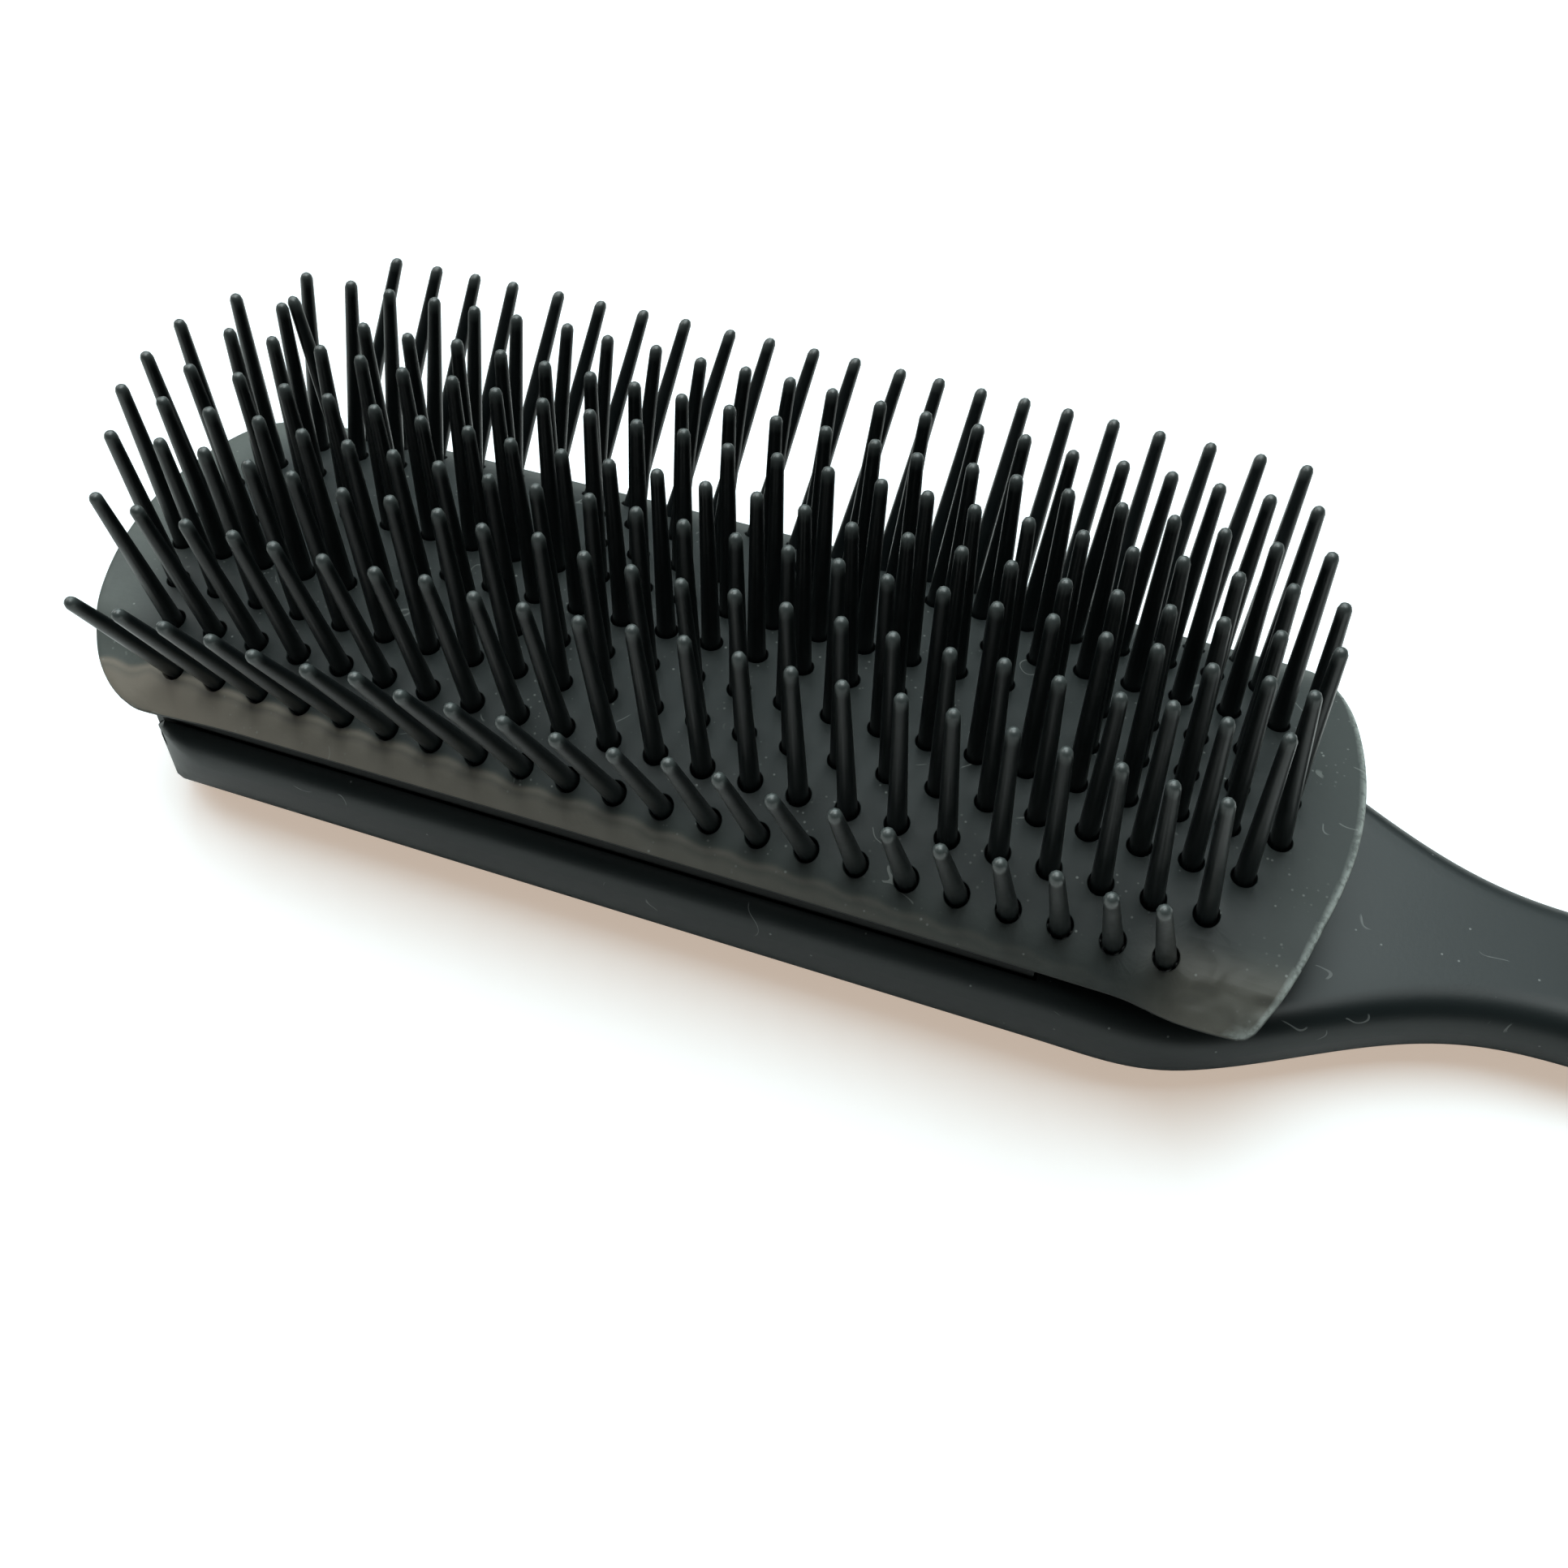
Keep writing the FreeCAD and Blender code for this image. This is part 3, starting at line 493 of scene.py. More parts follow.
def bar_along(profile, start, stop):
    """A straight bar: a closed profile of y and z carried from start to stop along X, with both ends closed."""
    count = len(profile)
    ends = np.repeat([start, stop], count)
    return np.column_stack([ends, np.tile(profile, (2, 1))]), tube_faces(2, count)


def join(*shapes):
    """Several point and face sets as one."""
    starts = np.cumsum([0] + [len(points) for points, faces in shapes[:-1]])
    faces = [[corner + start for corner in face] for (points, found), start in zip(shapes, starts.tolist())
             for face in found]
    return np.concatenate([points for points, found in shapes]), faces


def t_bar(half, offset, start, stop):
    """A T-shaped bar along X: half a profile in millimetres, mirrored, set off to one side."""
    half = np.array(half) * MM
    return bar_along(np.concatenate([half, half[::-1] * [-1, 1]]) + [offset, 0], start, stop)


def pad_feet(handle):
    """The two T-shaped feet under the pad: a stem up into the sheet and a bar that runs in the rail's slot."""
    return [t_bar(FOOT_PROFILE, side * handle.slot_offset, FOOT_ENDS[0] * MM, FOOT_ENDS[1] * MM) for side in (-1, 1)]


def pin_habit(row, count, pins):
    """Lean of each pin of a row off the pad's normal, along X and across, in radians.

    End pins lean towards the middle, the second rows stand steeper than the rubber, waves run along a row, the two
    far rows lean towards the grip, every pin has a small seeded lean of its own, and one of row 7 is bent aside.
    """
    dice = np.random.default_rng(40 + row)
    share = np.linspace(-1, 1, count)
    from_grip, from_tip = np.arange(count)[::-1], np.arange(count)
    grip_pull = {1: -4.6, 2: -4.4, 3: -0.8, 4: -3.0, 5: -1.1, 6: -1.8, 7: -0.6, 8: -1.8, 9: 0.8}[row]
    tip_pull = {1: 2.0, 2: 0.0, 3: -1.5, 4: -3.0, 5: -3.5, 6: -3.5, 7: -3.0, 8: 0.5, 9: 2.4}[row]
    along = grip_pull * np.exp(-from_grip / 1.4) + tip_pull * np.exp(-from_tip / 3.0) - 1.2 * share
    steep = {2: 0.8, 5: -1.2, 8: -0.8}.get(row, 0.0)
    wave = {2: 2.2, 8: 1.6, 3: -0.8, 7: 0.9}.get(row, 0.6)
    across = steep + wave * np.cos(np.pi * (share + 0.12 * (row - 5)))
    if row == 8:
        along += 0.8 + 2.6 * ramp(share, -0.75, 0.6)
    if row == 9:
        swept = 3.2 + 4.8 * np.exp(-((share + 0.2) / 0.45) ** 2)
        along, across = along + swept, across + 0.4 * swept
    own = dice.normal(0, pins.unevenness, (2, count))
    along, across = np.radians(along) + own[0], np.radians(across) + own[1]
    if row == 7:
        along[2], across[2] = math.radians(-13), math.radians(4)
    return along, across


def pin_row(pad, pins, row):
    """One strip: pins are circles of falling radius along leaning lines, closed at both ends, on a round bar."""
    count, sides = PIN_COUNTS[row], 10
    spot = (row - 5) * pins.row_pitch
    x = (np.arange(count) - (count - 1) / 2) * pins.pitch
    top = pins.depth + pins.length
    ball = np.radians([0, 38, 68])
    shaft = pins.depth + pins.length * np.array([0.0, 0.3, 0.65])
    height = np.concatenate([[0.2 * MM], shaft, [top - 2.4 * pins.tip_radius],
                             top - pins.tip_radius * (1 - np.sin(ball))])
    taper = np.clip((height - pins.depth) / (pins.length - pins.tip_radius), 0, 1)
    radius = pins.base_radius + (pins.tip_radius - pins.base_radius) * taper
    radius[-len(ball):] = pins.tip_radius * np.cos(ball)
    along, across = pin_habit(row, count, pins)
    free = np.maximum(height - pins.depth, 0)
    y, z, slope = (float(value) for value in arch(pad, np.array(spot)))
    turn = np.arange(sides) / sides * 2 * np.pi
    ring_x = radius[:, None] * np.cos(turn)
    ring_t = radius[:, None] * np.sin(turn)
    dx = x[:, None, None] + (free * np.tan(along[:, None]))[:, :, None] + ring_x
    dt = (free * np.tan(across[:, None]))[:, :, None] + ring_t
    dn = np.broadcast_to(height[:, None] - pins.depth, dt.shape)
    low = np.broadcast_to(bow(pad, x)[:, None, None], dt.shape)
    points = np.stack([dx, y + dn * math.sin(slope) + dt * math.cos(slope),
                       z + dn * math.cos(slope) - dt * math.sin(slope) - low], axis=-1)
    rings = len(height)
    quads = grid_faces(rings, sides, wrap=True)
    starts = np.arange(count) * rings * sides
    faces = (quads[None] + starts[:, None, None]).reshape(-1, 4).tolist()
    base = (starts[:, None] + np.arange(sides)[::-1]).tolist()
    crown = (starts[:, None] + (rings - 1) * sides + np.arange(sides)).tolist()
    pin_set = (points.reshape(-1, 3), faces + base + crown)

    bar_x = np.linspace(-1, 1, 2 * count) * (x[-1] + pins.overrun)
    round_y = y - pins.depth * math.sin(slope) + pins.spine_radius * np.cos(turn)
    round_z = z - pins.depth * math.cos(slope) + pins.spine_radius * np.sin(turn)
    bar = np.stack([np.broadcast_to(bar_x[:, None], (len(bar_x), sides)),
                    np.broadcast_to(round_y, (len(bar_x), sides)), round_z - bow(pad, bar_x)[:, None]], axis=-1)
    spine = (bar.reshape(-1, 3), tube_faces(len(bar_x), sides))
    paler_share = np.clip((height - top) / (1.6 * pins.tip_radius) + 1.3, 0, 1)
    tips = np.broadcast_to(paler_share[None, :, None], (count, rings, sides)).ravel()
    return (*join(pin_set, spine), np.concatenate([tips, np.zeros(bar.size // 3)]))


def handle_values(handle, x):
    """Width, height, lift, lower and upper corner radius of the moulding's section at each x.

    Head to neck, neck to grip and grip to butt are eased with the smooth step, the heights of the shoulder faster
    than its width, and the butt closes as sqrt(1 - v^2).
    """
    def flat_topped(width, height, lift):
        return np.array([width, height, lift, height - handle.rim - handle.side_flat, handle.rim])

    def oval(width, height, lift):
        return np.array([width, height, lift, *[OVAL_SHARE * min(width, height)] * 2])

    head = flat_topped(handle.head_width, handle.head_depth, 0)
    neck = flat_topped(handle.neck_width, handle.neck_height, handle.neck_lift)
    grip = oval(handle.grip_width, handle.grip_height, handle.grip_lift)
    butt = oval(handle.butt_width, handle.butt_height, handle.butt_lift)
    shoulder = (x - handle.shoulder_start) / handle.shoulder_length
    swell = (x - handle.shoulder_start - handle.shoulder_length) / handle.swell_length
    taper = (x - handle.shoulder_start - handle.shoulder_length - handle.swell_length) / handle.taper_length
    quick = np.where(np.arange(5) == 0, ease(shoulder)[:, None], ease(shoulder * ROUNDING_SPEED)[:, None])
    values = head + quick * (neck - head) + ease(swell)[:, None] * (grip - neck) + ease(taper)[:, None] * (butt - grip)
    past = (taper - 1) * handle.taper_length / handle.butt_length
    shrink = np.sqrt(np.maximum(1 - np.clip(past, 0, 1) ** 2, 1e-8))
    values[:, 2] += values[:, 1] * (1 - shrink) / 2
    return values * np.stack([shrink, shrink, np.ones_like(shrink), shrink, shrink], axis=1)


def handle_shell(handle):
    """The outside of the moulding: rounded oblong sections along X, held inside the bowed plan and keel of the tip."""
    tip = HANDLE_LOW[0]
    half = handle.head_width / 2
    across = half - handle.end_corner
    plan = (tip, handle.end_radius, handle.end_corner, half, -1)
    y_bow = np.linspace(0, across * handle.end_radius / (handle.end_radius - handle.end_corner), 10)
    x_bow = end_x(*plan, y_bow)
    y_turn = across + handle.end_corner * np.sin(np.linspace(0.55, np.pi / 2, 9))
    x_turn = end_x(*plan, y_turn)
    edge = tip + handle.edge_round * np.array([0.02, 0.08, 0.25, 0.5, 0.8, 1.1])
    stop = (handle.shoulder_start + handle.shoulder_length + handle.swell_length + handle.taper_length
            + handle.butt_length)
    straight = np.linspace(x_turn[-1] + 1.5 * MM, handle.shoulder_start, 16)
    bent = np.linspace(handle.shoulder_start, stop - handle.butt_length, 120)[1:]
    butt = stop - handle.butt_length * (1 - np.sin(np.linspace(0, np.pi / 2, 15)))[1:]
    x = np.unique(np.concatenate([x_bow, x_turn, edge, straight, bent, butt]))
    width, height, lift, belly, rim = (column[:, None] for column in handle_values(handle, x).T)
    quarter = np.linspace(0, np.pi / 2, 13)
    back = np.linspace(0, 1, 5)
    deck = np.linspace(1, 0, 7)[1:]
    y = np.concatenate([back * (width / 2 - belly), width / 2 - belly + belly * np.sin(quarter[1:]),
                        width / 2 - rim + rim * np.cos(quarter), deck * (width / 2 - rim)], axis=1)
    z = np.concatenate([lift + 0 * back, lift + belly - belly * np.cos(quarter[1:]),
                        lift + height - rim + rim * np.sin(quarter), lift + height + 0 * deck], axis=1)
    outline = np.interp(x, np.concatenate([x_bow, x_turn]), np.concatenate([y_bow, y_turn]), right=np.inf)
    y = np.minimum(y, outline[:, None])
    from_keel = np.clip(tip + handle.keel - x, 0, handle.keel)[:, None]
    z = np.maximum(z, handle.keel - np.sqrt(handle.keel ** 2 - from_keel ** 2))
    far = end_distance(*plan, x[:, None], y)
    top = handle.head_depth - quarter_round(far, handle.edge_round)
    z = np.minimum(z, np.where(x[:, None] < handle.shoulder_start, top, z))
    loop_y = np.concatenate([y, -y[:, -2:0:-1]], axis=1)
    loop_z = np.concatenate([z, z[:, -2:0:-1]], axis=1)
    points = np.stack([np.broadcast_to(x[:, None], loop_y.shape), loop_y, loop_z], axis=-1)
    return points.reshape(-1, 3), tube_faces(*loop_y.shape)


def trough_shape(handle):
    """The hollow of the head: a round-cornered plan carried up from the floor, rounded where its walls begin."""
    start, stop = HANDLE_LOW[0] + handle.floor, handle.trough_end
    corner = handle.trough_corner
    turn = np.linspace(0, np.pi / 2, 9)
    centre = np.array([[stop - corner, handle.trough_half - corner], [start + corner, handle.trough_half - corner],
                       [start + corner, corner - handle.trough_half], [stop - corner, corner - handle.trough_half]])
    angles = turn[None] + np.arange(4)[:, None] * np.pi / 2
    plan = np.stack([centre[:, :1] + corner * np.cos(angles), centre[:, 1:] + corner * np.sin(angles)], axis=-1)
    plan = plan.reshape(-1, 2)
    fillet = 1.2 * MM
    bend = np.linspace(0, np.pi / 2, 5)
    inset = np.concatenate([fillet * (1 - np.sin(bend)), [0.0]])
    level = np.concatenate([handle.floor + fillet * (1 - np.cos(bend)), [handle.head_depth + 6 * MM]])
    outward = np.stack([np.cos(angles), np.sin(angles)], axis=-1).reshape(-1, 2)
    rings = plan[None] - inset[:, None, None] * outward[None]
    points = np.concatenate([rings, np.broadcast_to(level[:, None, None], (*rings.shape[:2], 1))], axis=-1)
    return points.reshape(-1, 3), tube_faces(len(level), len(plan))


def slot_shape(handle, side):
    """One rail slot: a T lying open at the tip, with a narrow throat above a wider pocket."""
    return t_bar(SLOT_PROFILE, side * handle.slot_offset, HANDLE_LOW[0] - 5 * MM, handle.slot_end)


def bulkhead_shape(pad):
    """The upright plate behind the trough: flat sides under a top that follows the pad's lower face."""
    half, foot, front, back = 15 * MM, 7.05 * MM, 57.2 * MM, 58.8 * MM
    inset, sunk = pad.thickness + 0.3 * MM, 0.6 * MM
    y, z, slope = arch(pad, np.linspace(-1, 1, 41) * (half + sunk))
    top = np.stack([y - inset * np.sin(slope), z - inset * np.cos(slope) - sunk], axis=1)
    top = top[np.abs(top[:, 0]) < half]
    profile = np.concatenate([[[-half, foot]], [[-half, top[0, 1]]], top, [[half, top[-1, 1]]], [[half, foot]]])[::-1]
    return bar_along(profile, front, back)


def lint(tree, place):
    """Lint fibres about 0.1 mm wide and 3 mm long: thin level lines of one noise, cut short by another."""
    field = node(tree, "ShaderNodeTexNoise", {"Vector": place, "Scale": 1 / (5 * MM), "Detail": 1.0})
    level = node(tree, "ShaderNodeMath", (field, 0.5, 0.006), operation="COMPARE")
    patch = node(tree, "ShaderNodeTexNoise", {"Vector": place, "Scale": 1 / (3.5 * MM), "Detail": 0.0})
    kept = node(tree, "ShaderNodeMapRange", (patch, 0.69, 0.72, 0.0, 0.36))
    return node(tree, "ShaderNodeMath", (level, kept), operation="MULTIPLY")


def satin_abs(handle):
    """Injection-moulded ABS from a lightly spark-eroded mould: satin, with soft broad highlights and a fine grain."""
    material, tree, shader, place = start_material("satin_moulded_abs")
    # Hands rub the moulding unevenly: patches about 25 mm across shift its tone and gloss a little
    rubbed = node(tree, "ShaderNodeTexNoise", {"Vector": place, "Scale": 1 / (25 * MM), "Detail": 3.0})
    # Mould grain is about 0.1 mm, drawn at 0.35 mm because finer grain doesn't show in the render
    grain = node(tree, "ShaderNodeTexNoise", {"Vector": place, "Scale": 1 / (0.35 * MM), "Detail": 2.0})
    # Dust specks about 0.15 mm wide, a few millimetres apart
    speck = node(tree, "ShaderNodeTexVoronoi", {"Vector": place, "Scale": 1 / (2.6 * MM), "Randomness": 1.0})
    dust = node(tree, "ShaderNodeMapRange", (speck, 0.03, 0.055, 0.5, 0.0))
    specks = node(tree, "ShaderNodeMath", (dust, lint(tree, place)), operation="MAXIMUM")
    tone = opaque(handle.plastic)
    for amount, over in ((rubbed, handle.sheen), (specks, handle.dust)):
        tone = node(tree, "ShaderNodeMix", {0: amount, 6: tone, 7: opaque(over)}, data_type="RGBA").outputs[2]
    gloss = node(tree, "ShaderNodeMapRange", (rubbed, 0.3, 0.7, 0.33, 0.43))
    bump = node(tree, "ShaderNodeBump", {"Height": grain, "Strength": 0.12, "Distance": 0.05 * MM})
    fill(tree, shader, {"Base Color": tone, "Roughness": gloss, "Normal": bump, "IOR": 1.53,
                        "Specular IOR Level": 0.43})
    return material


def matt_rubber(pad, pins):
    """Compression-moulded rubber: matt charcoal, paler grey clouds, a soiled near skirt, lint, a painted edge
    highlight and painted shade below.
    """
    material, tree, shader, place = start_material("matt_moulded_rubber")
    paler_share, skirt, crumple, unshaded_share = (node(tree, "ShaderNodeAttribute", attribute_name=name).outputs["Fac"]
                                       for name in ("tail_edge_highlight", "skirt", "crumple", "unshaded_share"))
    # The paler grey lies in clouds about 9 mm wide
    cloud = node(tree, "ShaderNodeTexNoise", {"Vector": place, "Scale": 1 / (9 * MM), "Detail": 5.0,
                                              "Roughness": 0.6})
    # Rubber texture is about 0.2 mm, drawn at 0.5 mm because finer texture doesn't show in the render
    grain = node(tree, "ShaderNodeTexNoise", {"Vector": place, "Scale": 1 / (0.5 * MM), "Detail": 3.0})
    # Single dust specks are about 0.15 mm wide
    speck = node(tree, "ShaderNodeTexVoronoi", {"Vector": place, "Scale": 1 / (2.2 * MM), "Randomness": 1.0})
    dust = node(tree, "ShaderNodeMapRange", (speck, 0.035, 0.07, 0.55, 0.0))
    # A finer, clustered dust of specks 0.1 mm wide lies where the clouds are thick
    fine = node(tree, "ShaderNodeTexVoronoi", {"Vector": place, "Scale": 1 / (0.9 * MM), "Randomness": 1.0})
    powder = node(tree, "ShaderNodeMapRange", (fine, 0.06, 0.17, 1.0, 0.0))
    thick = node(tree, "ShaderNodeMapRange", (cloud, 0.49, 0.6, 0.0, 0.45))
    powder = node(tree, "ShaderNodeMath", (powder, thick), operation="MULTIPLY")
    specks = node(tree, "ShaderNodeMath", (dust, powder), operation="MAXIMUM")
    specks = node(tree, "ShaderNodeMath", (specks, lint(tree, place)), operation="MAXIMUM")
    # The film on the near skirt ends 1 mm below the first row, in a line that dips under every pin and runs
    # lower towards the grip, where the film fades
    spot = node(tree, "ShaderNodeSeparateXYZ", (place,))
    phase = node(tree, "ShaderNodeMath", (spot.outputs["X"], 2 * math.pi / pins.pitch, math.pi),
                 operation="MULTIPLY_ADD")
    wave = node(tree, "ShaderNodeMath", (phase,), operation="COSINE")
    line = node(tree, "ShaderNodeMath", (wave, 0.14 * MM, 20.0 * MM), operation="MULTIPLY_ADD")
    line = node(tree, "ShaderNodeMath", (spot.outputs["X"], 0.025, line), operation="MULTIPLY_ADD")
    line = node(tree, "ShaderNodeMath", (cloud, 0.8 * MM, line), operation="MULTIPLY_ADD")
    below = node(tree, "ShaderNodeMath", (spot.outputs["Y"], line), operation="ADD")
    fade = node(tree, "ShaderNodeMapRange", (spot.outputs["X"], -45 * MM, 45 * MM, 1.0, 0.05))
    film = node(tree, "ShaderNodeMapRange", (below, -0.9 * MM, 0.6 * MM, 1.0, 0.0))
    # Its border has dried to a paler line 0.4 mm wide
    border = node(tree, "ShaderNodeMath", (below,), operation="ABSOLUTE")
    border = node(tree, "ShaderNodeMapRange", (border, 0.05 * MM, 0.4 * MM, 1.1, 0.0))
    film = node(tree, "ShaderNodeMath", (border, cloud, film), operation="MULTIPLY_ADD")
    film = node(tree, "ShaderNodeMath", (film, fade), operation="MULTIPLY")
    film = node(tree, "ShaderNodeMath", (crumple, 0.35, film), operation="MULTIPLY_ADD")
    pale_clouds = node(tree, "ShaderNodeMath", (cloud, skirt), operation="MULTIPLY")
    # Painted highlight along the tail's rounded edge, broken up by the grain
    broken_up = node(tree, "ShaderNodeMapRange", (grain, 0.35, 0.55, 0.45, 1.0))
    ragged_highlight = node(tree, "ShaderNodeMath", (paler_share, broken_up), operation="MULTIPLY")
    tone = opaque(pad.rubber)
    for amount, over in ((pale_clouds, pad.pale_clouds), (film, pad.soil), (ragged_highlight, pad.edge_highlight), (specks, pad.dust)):
        tone = node(tree, "ShaderNodeMix", {0: amount, 6: tone, 7: opaque(over)}, data_type="RGBA").outputs[2]
    # Painted shade: rubber that faces down, and the feet, is set to near-black in place of its tone
    tone = node(tree, "ShaderNodeMix", {0: unshaded_share, 6: opaque(pad.underside_shade), 7: tone}, data_type="RGBA").outputs[2]
    gloss = node(tree, "ShaderNodeMapRange", (cloud, 0.3, 0.7, 0.5, 0.66))
    # Creases about 2 mm apart where the tail's near corner is crumpled on the shoulder
    fold = node(tree, "ShaderNodeTexNoise", {"Vector": place, "Scale": 1 / (4.5 * MM), "Detail": 1.0,
                                             "Distortion": 0.6})
    folds = node(tree, "ShaderNodeMath", (fold, crumple), operation="MULTIPLY")
    creased = node(tree, "ShaderNodeBump", {"Height": folds, "Strength": 1.0, "Distance": 1.6 * MM})
    bump = node(tree, "ShaderNodeBump", {"Height": grain, "Strength": 0.25, "Distance": 0.06 * MM,
                                         "Normal": creased})
    fill(tree, shader, {"Base Color": tone, "Roughness": gloss, "Normal": bump, "IOR": 1.52,
                        "Specular IOR Level": 0.36})
    return material


def black_nylon(pins):
    """Injection-moulded nylon: black with a soft gloss down each pin, greyer at the rubbed tips."""
    material, tree, shader, place = start_material("black_moulded_nylon")
    tip = node(tree, "ShaderNodeAttribute", attribute_name="tip_wear").outputs["Fac"]
    # Handling marks about 3 mm long break up the gloss
    mark = node(tree, "ShaderNodeTexNoise", {"Vector": place, "Scale": 1 / (3 * MM), "Detail": 4.0})
    tone = node(tree, "ShaderNodeMix", {0: tip, 6: opaque(pins.nylon), 7: opaque(pins.tip)}, data_type="RGBA")
    gloss = node(tree, "ShaderNodeMapRange", (mark, 0.3, 0.7, 0.3, 0.4))
    fill(tree, shader, {"Base Color": tone.outputs[2], "Roughness": gloss, "IOR": 1.53})
    return material


def floor_paper(stage):
    """White paper sweep: the camera sees a white sheet with the brush's soft, slightly warm shadow."""
    material, tree, shader, place = start_material("white_paper")
    tree.nodes.remove(shader)
    seen = node(tree, "ShaderNodeLightPath").outputs["Is Camera Ray"]
    plain = node(tree, "ShaderNodeBsdfDiffuse", {"Color": opaque(stage.white)})
    cool = node(tree, "ShaderNodeBsdfDiffuse", {"Color": (0.66, 0.80, 0.90, 1.0)})
    warm = node(tree, "ShaderNodeEmission", {"Color": (0.53, 0.43, 0.35, 1.0), "Strength": 1.0})
    lit = node(tree, "ShaderNodeAddShader", (cool, warm))
    # Far from the brush the sheet runs out into plain white
    reach = node(tree, "ShaderNodeVectorMath", (place,), operation="LENGTH")
    far = node(tree, "ShaderNodeMapRange", (reach.outputs["Value"], 0.35, 0.9, 0.0, 1.0))
    white = node(tree, "ShaderNodeEmission", {"Color": (1.0, 1.0, 1.0, 1.0), "Strength": 1.0})
    sweep = node(tree, "ShaderNodeMixShader", (far, lit, white))
    both = node(tree, "ShaderNodeMixShader", (seen, plain, sweep))
    fill(tree, tree.nodes["Material Output"], {"Surface": both})
    return material


def add_lamp(name, place, target, width, height, power, tint):
    """A soft rectangular lamp that faces a point."""
    lamp = bpy.data.lights.new(name, "AREA")
    lamp.shape, lamp.size, lamp.size_y, lamp.energy, lamp.color = "RECTANGLE", width, height, power, tint
    made = bpy.data.objects.new(name, lamp)
    made.location = place
    made.rotation_euler = (Vector(target) - Vector(place)).to_track_quat("-Z", "Y").to_euler()
    bpy.context.scene.collection.objects.link(made)
    return made


class BRUSH_OT_stage(bpy.types.Operator):
    """Makes the camera at the photographed view, the white floor, the lamps and the world"""
    bl_idname = "brush.stage"
    bl_label = "Stage"

    def execute(self, context):
        scene, stage = context.scene, context.scene.brush_stage
        scene.view_settings.view_transform = "Standard"
        camera = bpy.data.cameras.new("photo_camera")
        camera.lens, camera.sensor_width, camera.clip_start, camera.clip_end = stage.lens, 36, 0.005, 20
        made = bpy.data.objects.new("photo_camera", camera)
        scene.collection.objects.link(made)
        aim = Matrix.Rotation(stage.azimuth, 4, "Z") @ Matrix.Rotation(math.pi / 2 - stage.elevation, 4, "X")
        made.matrix_world = Matrix.Translation(stage.camera) @ aim @ Matrix.Rotation(stage.roll, 4, "Z")
        scene.camera = made

        half = stage.floor_size / 2
        corners = np.array([[-1, -1], [1, -1], [1, 1], [-1, 1]]) * half
        mesh = bpy.data.meshes.new("floor")
        mesh.from_pydata(np.column_stack([corners, np.full(4, -stage.floor_gap)]).tolist(), [], [[0, 1, 2, 3]])
        mesh.materials.append(floor_paper(stage))
        floor = bpy.data.objects.new("floor", mesh)
        scene.collection.objects.link(floor)

        target = (0.02, 0, 0.01)
        add_lamp("window_lamp", (-0.26, 0.78, 1.0), target, 1.1, 0.9, 12.5, (0.86, 1.0, 1.0))
        add_lamp("overhead_lamp", (0.0, 0.05, 1.4), target, 1.0, 0.9, 14, (0.92, 1.0, 0.99))
        add_lamp("left_lamp", (-1.0, 0.15, 0.85), target, 0.8, 0.7, 5, (1.0, 1.0, 0.98))
        world = bpy.data.worlds.new("studio")
        world.use_nodes = True
        scene.world = world
        tree = world.node_tree
        way = node(tree, "ShaderNodeTexCoord").outputs["Generated"]
        side = node(tree, "ShaderNodeVectorMath", (way, (-0.35, 0.55, 0.76)), operation="DOT_PRODUCT")
        level = node(tree, "ShaderNodeMapRange", (side.outputs["Value"], 0.3, 0.9, 0.03, 0.3))
        # The camera sees plain white behind the floor
        seen = node(tree, "ShaderNodeLightPath").outputs["Is Camera Ray"]
        room = node(tree, "ShaderNodeBackground", ((0.88, 1.0, 1.0, 1.0), level))
        backdrop = node(tree, "ShaderNodeBackground", ((1.0, 1.0, 1.0, 1.0), 1.0))
        both = node(tree, "ShaderNodeMixShader", (seen, room, backdrop))
        tree.nodes.remove(tree.nodes["Background"])
        fill(tree, tree.nodes["World Output"], {"Surface": both})
        return {"FINISHED"}


class BRUSH_OT_handle(bpy.types.Operator):
    """Makes the handle moulding with its trough and slots, and the plate behind the trough"""
    bl_idname = "brush.handle"
    bl_label = "Handle"

    def execute(self, context):
        scene, handle, pad = context.scene, context.scene.brush_handle, context.scene.brush_pad
        shell = bpy.data.objects.new("handle_shell", make_mesh("handle_shell", *handle_shell(handle), 180))
        cutters = [bpy.data.objects.new("cutter", make_mesh("cutter", *shape, 180))
                   for shape in (trough_shape(handle), slot_shape(handle, -1), slot_shape(handle, 1))]
        for item in [shell, *cutters]:
            scene.collection.objects.link(item)
        for cutter in cutters:
            hollow = shell.modifiers.new("hollow", "BOOLEAN")
            hollow.operation, hollow.solver, hollow.object = "DIFFERENCE", "EXACT", cutter
        context.view_layer.update()
        mesh = bpy.data.meshes.new_from_object(shell.evaluated_get(context.evaluated_depsgraph_get()))
        for item in [shell, *cutters]:
            old = item.data
            bpy.data.objects.remove(item)
            bpy.data.meshes.remove(old)
        mesh.name = "handle_moulding"
        mesh.shade_smooth()
        mesh.set_sharp_from_angle(angle=math.radians(32))
        plastic = satin_abs(handle)
        add_piece(mesh, plastic, "handle", ["handle"])
        plate = make_mesh("handle_bulkhead", *bulkhead_shape(pad), 32)
        add_piece(plate, plastic, "handle", ["handle"])
        return {"FINISHED"}


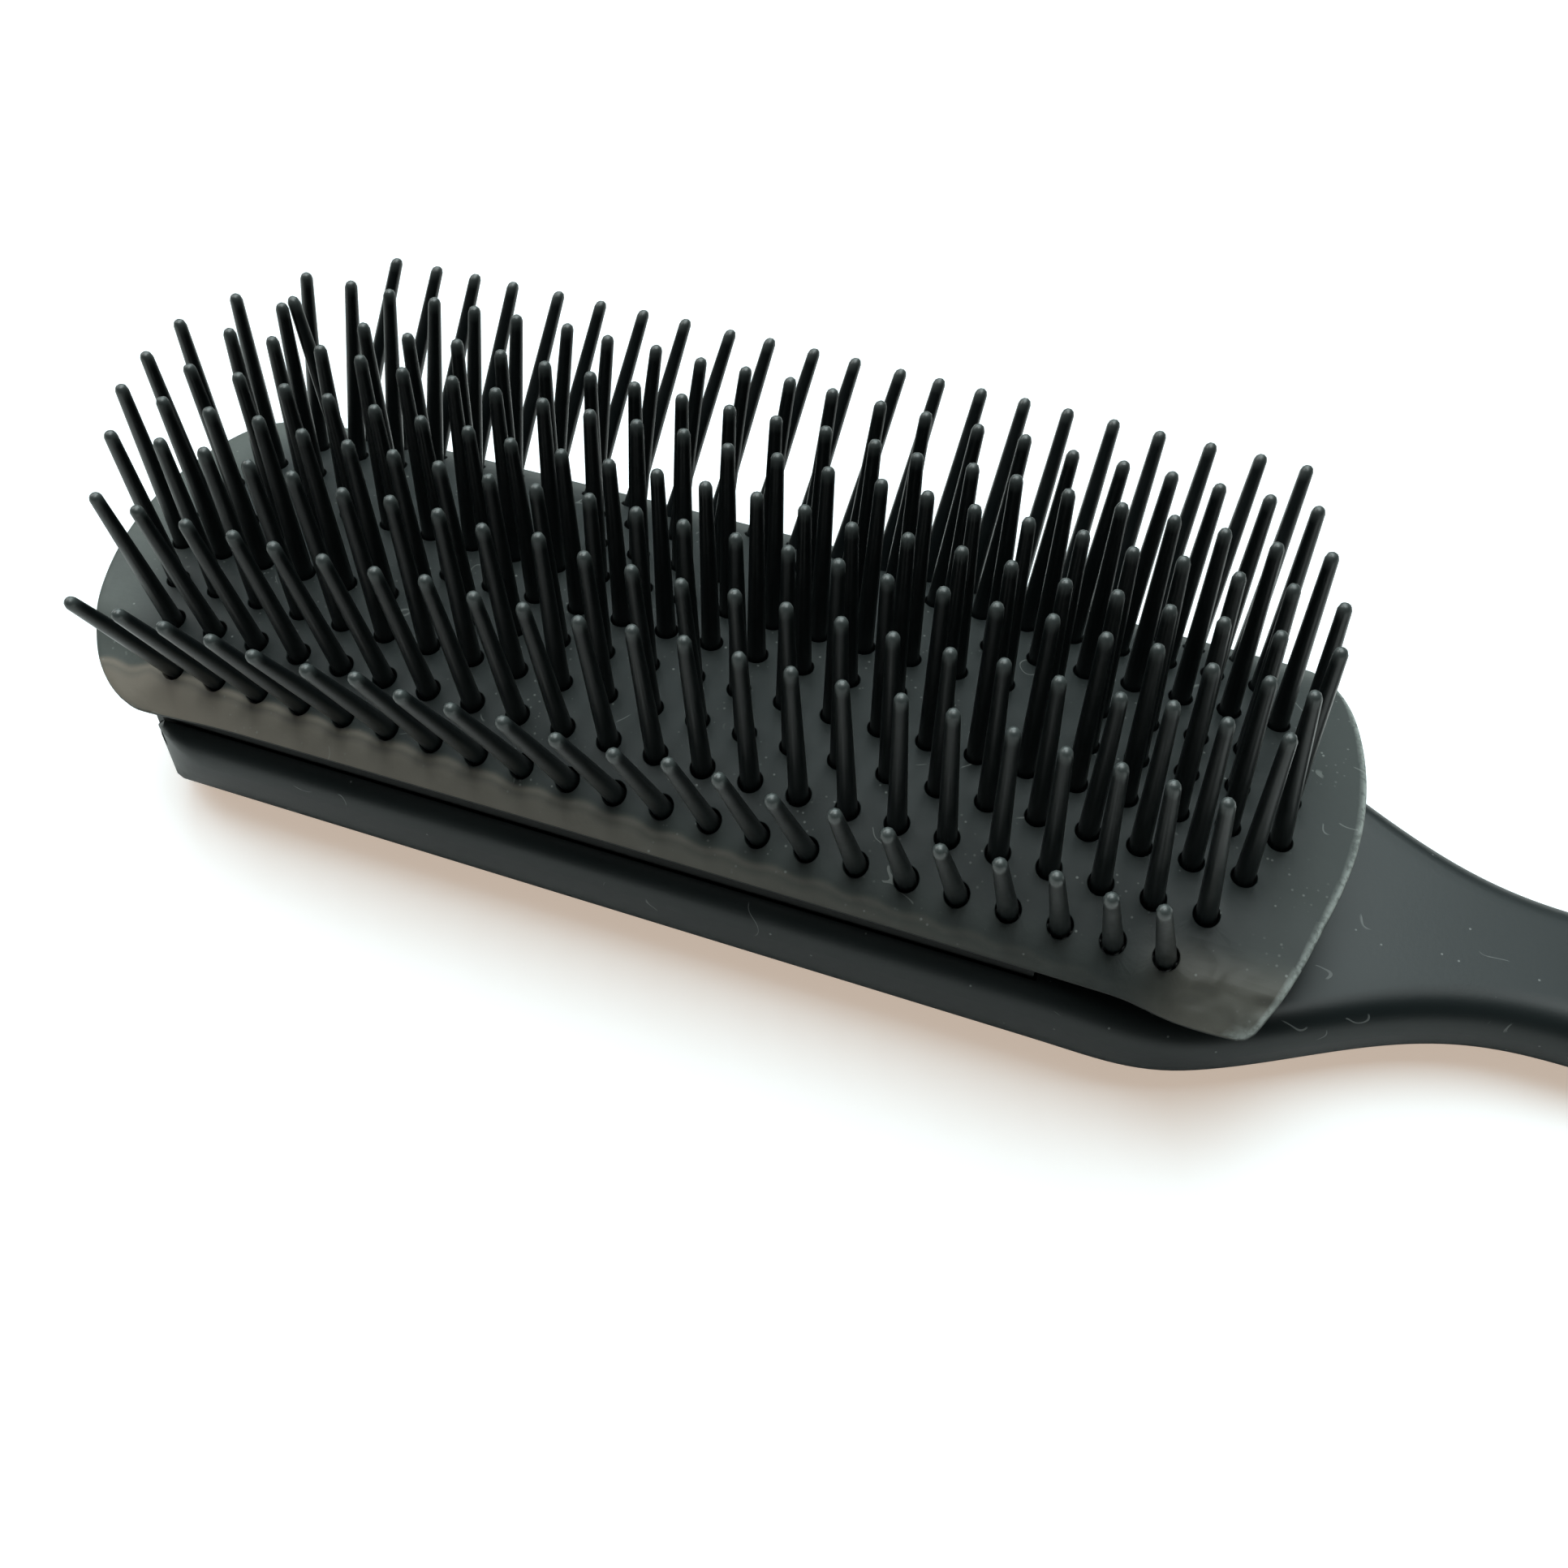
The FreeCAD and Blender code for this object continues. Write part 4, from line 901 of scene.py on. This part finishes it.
class BRUSH_OT_pad(bpy.types.Operator):
    """Makes the arched rubber pad with its pin holes and its two feet"""
    bl_idname = "brush.pad"
    bl_label = "Rubber pad"

    def execute(self, context):
        pad, pins, handle = context.scene.brush_pad, context.scene.brush_pins, context.scene.brush_handle
        mesh = make_mesh("rubber_pad_sheet", *join(pad_sheet(pad, pins), *pad_feet(handle)), 50)
        x, y, z = vertex_columns(mesh, "co")
        up = vertex_columns(mesh, "normal")[2]
        drawn = corner_draw(pad, x - corner_draw(pad, x, y), y)
        tail = end_distance(*pad_end(pad, 1), x - drawn, y)
        # Painted highlight mask: full within 0.3 mm of the tail's edge, gone by 0.6 mm
        put_attribute(mesh, "tail_edge_highlight", np.clip((0.6 * MM - tail) / (0.3 * MM), 0, 1))
        foot = np.isin(np.round(x / MM, 3), FOOT_ENDS) & (z < (FOOT_PROFILE[-1][1] + 0.05) * MM)
        # Painted shade mask: 0 on the feet and on faces turned down, rising to 1 on faces turned up
        put_attribute(mesh, "unshaded_share", np.where(foot, 0, ramp(up, -0.1, 0.6)))
        tip = end_distance(*pad_end(pad, -1), x, y)
        # Weight of the paler grey: more on the long skirts, most near the free tip, and more again near the tail
        skirt, front = ramp(np.abs(y), *SKIRT_ACROSS), ease(1.15 - tip / (8 * MM))
        back = ease(1.1 - tail / (9 * MM))
        put_attribute(mesh, "skirt", 0.2 + 0.7 * np.maximum(skirt, front) + 1.1 * front + 0.55 * back)
        put_attribute(mesh, "crumple", ramp(x, *TAIL_PRESS) * ramp(-y, *CRUMPLE_ACROSS))
        add_piece(mesh, matt_rubber(pad, pins), "rubber_pad", ["rubber_pad"])
        return {"FINISHED"}


class BRUSH_OT_pins(bpy.types.Operator):
    """Makes the nine strips of pins"""
    bl_idname = "brush.pins"
    bl_label = "Pin strips"

    def execute(self, context):
        pad, pins = context.scene.brush_pad, context.scene.brush_pins
        nylon = black_nylon(pins)
        for row in ROWS:
            points, faces, tips = pin_row(pad, pins, row)
            mesh = make_mesh(f"pin_strip_{row}", points, faces, 50)
            if len(mesh.vertices) != len(points):
                raise RuntimeError(f"pin strip {row} lost vertices when its doubles were merged")
            put_attribute(mesh, "tip_wear", tips)
            add_piece(mesh, nylon, f"pin_row_{row}", [f"pin_row_{row}"])
        return {"FINISHED"}


class BRUSH_PT_panel(bpy.types.Panel):
    """Lists the steps that build the brush"""
    bl_idname = "BRUSH_PT_panel"
    bl_label = "Detangling brush"
    bl_space_type = "VIEW_3D"
    bl_region_type = "UI"
    bl_category = "Brush"

    def draw(self, context):
        for step in STEPS:
            self.layout.operator(step.bl_idname)


STEPS = (BRUSH_OT_stage, BRUSH_OT_handle, BRUSH_OT_pad, BRUSH_OT_pins)
SETTINGS = {"brush_pad": PadSettings, "brush_pins": PinSettings, "brush_handle": HandleSettings,
            "brush_stage": StageSettings}


def register():
    """Registers the settings, the operators and the panel."""
    for kind in (*SETTINGS.values(), *STEPS, BRUSH_PT_panel):
        bpy.utils.register_class(kind)
    for name, kind in SETTINGS.items():
        setattr(bpy.types.Scene, name, bpy.props.PointerProperty(type=kind))


def unregister():
    """Removes what register added."""
    for name in SETTINGS:
        delattr(bpy.types.Scene, name)
    for kind in reversed((*SETTINGS.values(), *STEPS, BRUSH_PT_panel)):
        bpy.utils.unregister_class(kind)


def main():
    """Builds the whole brush."""
    register()
    bpy.ops.brush.stage()
    bpy.ops.brush.handle()
    bpy.ops.brush.pad()
    bpy.ops.brush.pins()


if __name__ == "__main__":
    main()
